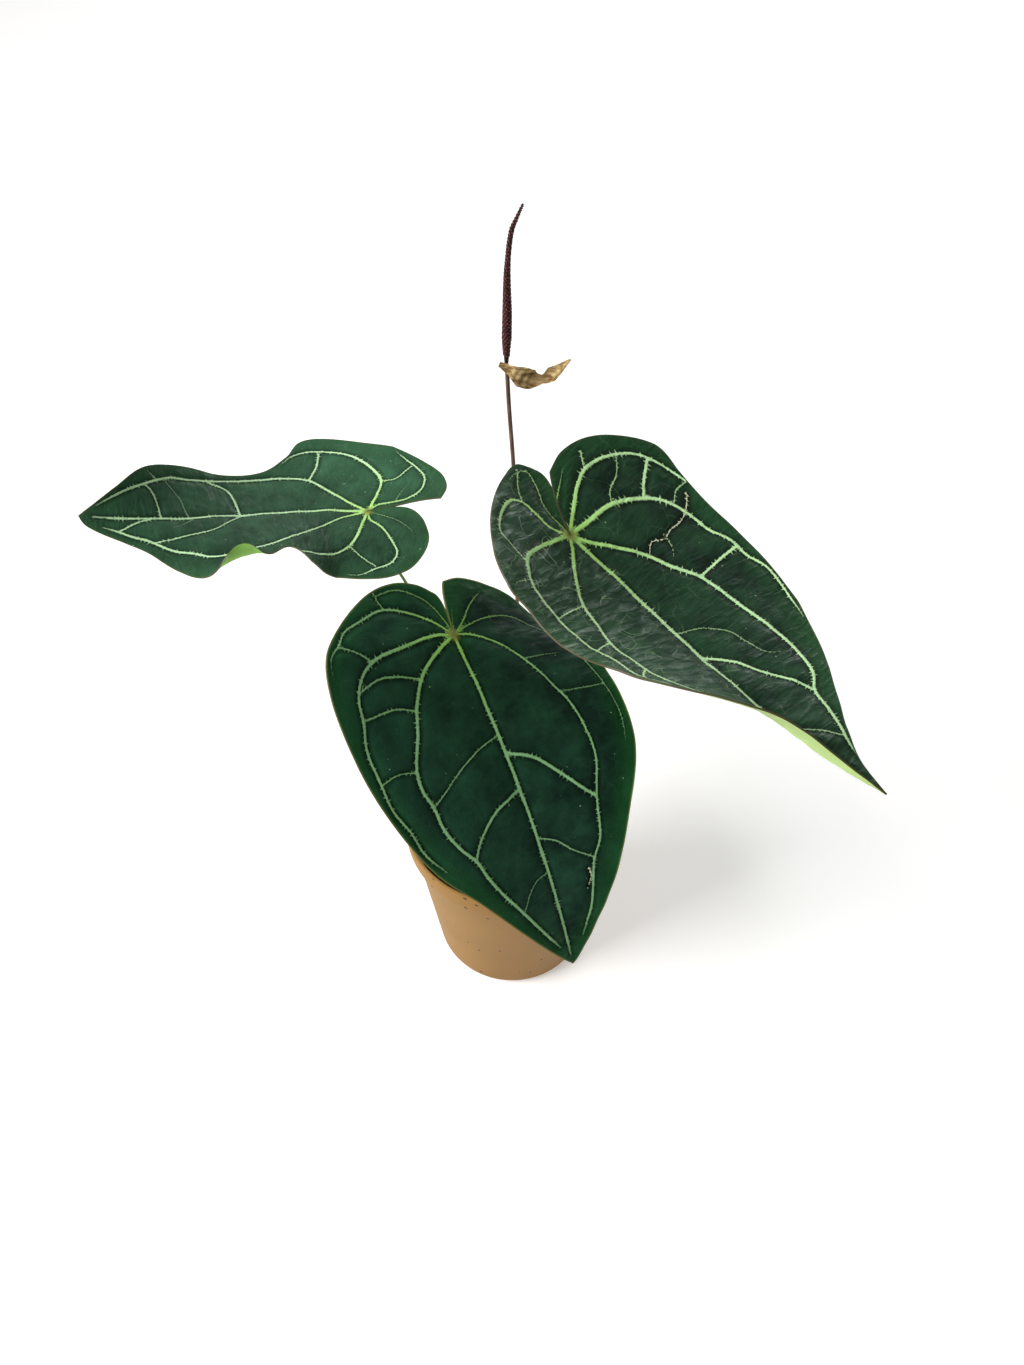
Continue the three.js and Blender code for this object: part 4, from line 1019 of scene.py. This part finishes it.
def make_blade(name):
    look = FINISHES[name]
    bm = bmesh.new()
    layers = {key: bm.verts.layers.float_vector.new(key) for key in ("flat", "vein", "vein_size")}
    add_half(bm, name, 1, layers)
    add_half(bm, name, -1, layers)
    bmesh.ops.remove_doubles(bm, verts=bm.verts, dist=2e-3)
    bm.normal_update()
    lifts = [relief(vert[layers["flat"]], vert[layers["vein_size"]]) for vert in bm.verts]
    for vert, lift in zip(bm.verts, lifts):
        vert.co += vert.normal * lift
    skins = (velvet(name, look), underside(name, *look["under"]), leaf_edge(name, look["hem"]))
    piece = make_piece(bm, f"blade_{name}", *skins, sharp=180)
    wall = piece.modifiers.new("wall", "SOLIDIFY")
    wall.thickness = BLADE["thickness"] * MM
    wall.offset = 0
    wall.material_offset = 1
    wall.material_offset_rim = 2
    bake_modifiers(piece, sharp=60)
    return piece


for name, slot in (("left", "leaf_grey_green"), ("front", "leaf_dark_green"), ("right", "leaf_dark_green")):
    seat(make_blade(name), slot, f"leaf_{name}")

# %% [markdown]
# ## The leaf stalks
# Each petiole starts in the crown, rises through a few places and ends square under its blade. Its
# radius falls from the foot and swells again in the joint. It is olive green, browner at the joint.

# %% Petioles and flower stalk
STALKS = {"left": ((-4, 3, 112), (-12, 12, 160), (-44, 50, 218)),
          "front": ((-2, -5, 112), (-9, -10, 170), (-24, -20, 240)),
          "right": ((4, 4, 112), (10, 24, 200), (18, 19, 290))}
PETIOLE = {"foot": 1.7, "middle": 0.8, "foot_share": 0.4, "joint": 1.2, "joint_length": 14, "gap": 0.3}
PEDUNCLE = {"radius": 0.85,
            "path": ((-1, 7, 112), (2.4, 12, 220), (1, 15.5, 328), (-1.2, 18.3, 364), (-2, 19.5, 381))}

for name, path in STALKS.items():
    place, _, up = (value[0] for value in midrib_frame(BLADES[name], np.zeros(1)))
    end = place - up * (BLADE["thickness"] / 2 + PETIOLE["gap"])
    curve = smooth_curve([*path, end - up * PETIOLE["joint_length"], end], 160)
    length = np.linalg.norm(np.diff(curve, axis=0), axis=1).sum()
    share = np.linspace(0, 1, 160)
    thinned = np.minimum(share / PETIOLE["foot_share"], 1)
    swollen = np.exp(-(((1 - share) * length / PETIOLE["joint_length"]) ** 2))
    thin = PETIOLE["foot"] + (PETIOLE["middle"] - PETIOLE["foot"]) * thinned
    joint = (PETIOLE["joint"] - PETIOLE["middle"]) * swollen
    bm = bmesh.new()
    tube(bm, curve, thin + joint, 20)
    skin = glossy_stalk(f"petiole_skin_{name}", "#6f7a3e", "#666b45", "#8d9a57", (curve[0][2], curve[-1][2]))
    seat(make_piece(bm, f"stalk_{name}", skin), "petiole", f"petiole_{name}")

bm = bmesh.new()
curve = smooth_curve(PEDUNCLE["path"], 200)
tube(bm, curve, np.full(200, PEDUNCLE["radius"]), 18)
skin = glossy_stalk("flower_stalk_skin", "#5c6038", "#4f3a2c", "#7c5a48", (112, 330))
seat(make_piece(bm, "flower_stalk", skin), "peduncle", "peduncle")

# %% [markdown]
# ## The flower spike
# An aroid's flower is a spike, the spadix, packed with tiny flowers in a spiral, and a bract below
# it, the spathe. Each floret is a low four-sided cushion about 1.2 mm across with a paler tip. A
# core tube gives the spike its body. The florets are small low-poly balls pressed flat on it, one
# for each step of a golden-angle spiral, which spaces them evenly on any radius.

# %% Spadix
SPIKE = {"path": ((-2.1, 19.8, 381.6), (-2.1, 20, 385), (-1.8, 20, 400), (-1.6, 20, 420),
                  (-0.1, 20, 432.5), (1.5, 20, 436.4), (3.9, 20, 441.7)),
         "radii": (0.9, 1.8, 1.7, 1.3, 0.9, 0.8, 0.35)}
FLORET = {"radius": 0.62, "height": 0.3, "area": 1.25, "tip": 0.13, "neck": 3.0}
GOLDEN_ANGLE = math.pi * (3 - math.sqrt(5))


def spadix_skin(name, dark, light, roughness):
    material, tree, shader = new_material(name, Roughness=roughness, IOR=1.42)
    shader.inputs["Specular IOR Level"].default_value = 0.3
    place = add(tree, "ShaderNodeTexCoord").outputs["Object"]
    change = add(tree, "ShaderNodeTexNoise", {"Vector": place, "Scale": 1 / (1.1 * MM), "Detail": 3.0})
    sharper = add(tree, "ShaderNodeMapRange", {0: change, 1: 0.35, 2: 0.7, 3: 0.0, 4: 1.0})
    colour = add(tree, "ShaderNodeMix", {0: sharper, 6: linear(dark), 7: linear(light)}, data_type="RGBA")
    tree.links.new(colour.outputs[2], shader.inputs["Base Color"])
    return material


curve = smooth_curve(SPIKE["path"], 600)
forward, side, over = frames_along(curve)
stations = np.linspace(0, len(SPIKE["radii"]) - 1, len(curve))
radii = np.interp(stations, range(len(SPIKE["radii"])), SPIKE["radii"])
step = np.linalg.norm(np.diff(curve, axis=0), axis=1).mean()

bm = bmesh.new()
tube(bm, curve[::4], 0.9 * radii[::4], 24)
seat(make_piece(bm, "spike_core", spadix_skin("spadix_core", "#1e0a09", "#3a1815", 0.5)), "spadix", "spadix")

draw = np.random.default_rng(11)
florets, tips = bmesh.new(), bmesh.new()
travelled, turn = FLORET["neck"], 0.0
while travelled / step < len(curve) - 4:
    k = int(travelled / step)
    out = Vector(math.cos(turn) * side[k] + math.sin(turn) * over[k])
    seat_place = Vector(curve[k]) + out * radii[k] * 0.92
    squeeze = min(1.0, radii[k] / 1.1)
    frame_matrix = Matrix((Vector(forward[k]).cross(out), Vector(forward[k]), out)).transposed().to_4x4()
    stretch = Matrix.Diagonal((FLORET["radius"] * squeeze, FLORET["radius"] * squeeze, FLORET["height"], 1))
    made = bmesh.ops.create_icosphere(florets, subdivisions=2, radius=1.0)["verts"]
    bmesh.ops.transform(florets, matrix=Matrix.Translation(seat_place) @ frame_matrix @ stretch, verts=made)
    if draw.random() < 0.55:
        top = seat_place + out * FLORET["height"] * 0.95
        shape = Matrix.Translation(top) @ Matrix.Scale(FLORET["tip"] * draw.uniform(0.6, 1.1), 4)
        bmesh.ops.create_icosphere(tips, subdivisions=1, radius=1.0, matrix=shape)
    turn += GOLDEN_ANGLE
    travelled += FLORET["area"] * squeeze / (2 * math.pi * radii[k])
seat(make_piece(florets, "florets", spadix_skin("floret_skin", "#2c0f0e", "#552421", 0.42)), "spadix")
seat(make_piece(tips, "floret_tips", spadix_skin("floret_tip", "#a87c74", "#dcb9b0", 0.6)), "spadix")

# %% [markdown]
# ## The withered spathe
# The bract has done its work and has dried to a twisted, tan, papery strip that hangs from the
# foot of the spike. It is a grid led along a curve, with its own width at each place, leaned over
# and cupped, then creased along its length by noise, and given a thin wall.

# %% Spathe
SPATHE = {"path": ((-4.8, 18.2, 382), (-2.3, 17.9, 381), (1.5, 16.5, 379.5), (5.3, 17, 377),
                   (9.2, 18, 375.3), (13, 18, 375.8), (16.7, 18, 378.5), (22.2, 18, 384)),
          "half_widths": (0.9, 2.1, 4.1, 3.6, 1.5, 2.8, 1.5, 0.15),
          "lean": 45, "lean_span": (0.2, 0.7), "cup": 0.45, "wall": 0.4, "crease": 0.32}

curve = smooth_curve(SPATHE["path"], 168)
forward = np.gradient(curve, axis=0)
forward /= np.linalg.norm(forward, axis=1)[:, None]
bm = bmesh.new()
bmesh.ops.create_grid(bm, x_segments=36, y_segments=len(curve) - 1, size=0.5)
for vert in bm.verts:
    share, across = vert.co.y + 0.5, 2 * vert.co.x
    k = round(share * (len(curve) - 1))
    half = np.interp(share * 7, range(8), SPATHE["half_widths"])
    start, end = SPATHE["lean_span"]
    turned = min(max((share - start) / (end - start), 0), 1)
    lean = math.radians(90 - SPATHE["lean"] * turned**2 * (3 - 2 * turned))
    way = Vector(forward[k])
    side_way = Matrix.Rotation(lean, 3, way) @ Vector((0, 0, 1)).cross(way).normalized()
    out = way.cross(side_way).normalized()
    crease = noise.noise(Vector((2.6 * across, 3 * share, 1)))
    crease += 0.5 * noise.noise(Vector((6 * across, 9 * share, 4)))
    curl = 0.5 * across**4 * math.sin(22 * share)
    pleat = 0.2 * math.sin(70 * share) * math.exp(-(((share - 0.3) / 0.12) ** 2))
    crumpled = SPATHE["crease"] * crease + 0.4 * curl + pleat
    lift = SPATHE["cup"] * half * across**2 + crumpled * min(half, 1)
    vert.co = Vector(curve[k]) + side_way * across * half + out * lift
bract = make_piece(bm, "withered_spathe", dry_paper("withered_bract", "#6a4e26", "#cdb27e", (9, 1.2, 1.2)))
wall = bract.modifiers.new("wall", "SOLIDIFY")
wall.thickness = SPATHE["wall"] * MM
wall.offset = 0
bake_modifiers(bract)
seat(bract, "spathe", "spathe")

# %% [markdown]
# ## Floor and light
# The plant stands on a plain pale floor, as in a product picture. Large soft boxes give the light:
# the main one is high on the left, as the pot's bright left side shows, a weaker one fills from
# the right, and one behind the plant draws the pale sheen on the blade that faces away. The floor
# glows a little, like paper on a light table, so that its shadows stay soft and thin.

# %% Studio
bm = bmesh.new()
bmesh.ops.create_grid(bm, x_segments=2, y_segments=2, size=4000)
floor = make_piece(bm, "floor")
floor_paint, tree, shader = new_material("matt_white_paper", Roughness=0.9)
place = add(tree, "ShaderNodeTexCoord").outputs["Object"]
fibre = add(tree, "ShaderNodeTexNoise", {"Vector": place, "Scale": 1 / (60 * MM), "Detail": 2.0})
paper_tone = add(tree, "ShaderNodeMix",
                 {0: fibre, 6: linear("#f3f2f0"), 7: linear("#f8f7f6")}, data_type="RGBA")
tree.links.new(paper_tone.outputs[2], shader.inputs["Base Color"])
shader.inputs["Emission Color"].default_value = (1, 1, 1, 1)
shader.inputs["Emission Strength"].default_value = 0.35
floor.data.materials.append(floor_paint)


def softbox(name, place, target, size, watts):
    """A square soft light that faces its target; places are in millimetres."""
    data = bpy.data.lights.new(name, "AREA")
    data.shape = "SQUARE"
    data.size = size * MM
    data.energy = watts
    light = bpy.data.objects.new(name, data)
    light.location = Vector(place) * MM
    way = Vector(target) - Vector(place)
    light.rotation_euler = way.to_track_quat("-Z", "Y").to_euler()
    bpy.context.scene.collection.objects.link(light)


softbox("main_light", (-1400, -450, 1200), (0, 0, 200), 1100, 43)
softbox("fill_light", (1300, -300, 900), (0, 0, 200), 1000, 0.5)
softbox("back_light", (1100, 3300, 1450), (40, -60, 330), 2400, 75)
world = bpy.data.worlds.new("studio_air")
world.use_nodes = True
world.node_tree.nodes["Background"].inputs["Color"].default_value = (1, 1, 1, 1)
world.node_tree.nodes["Background"].inputs["Strength"].default_value = 0.17
bpy.context.scene.world = world
bpy.context.scene.view_settings.view_transform = "Standard"
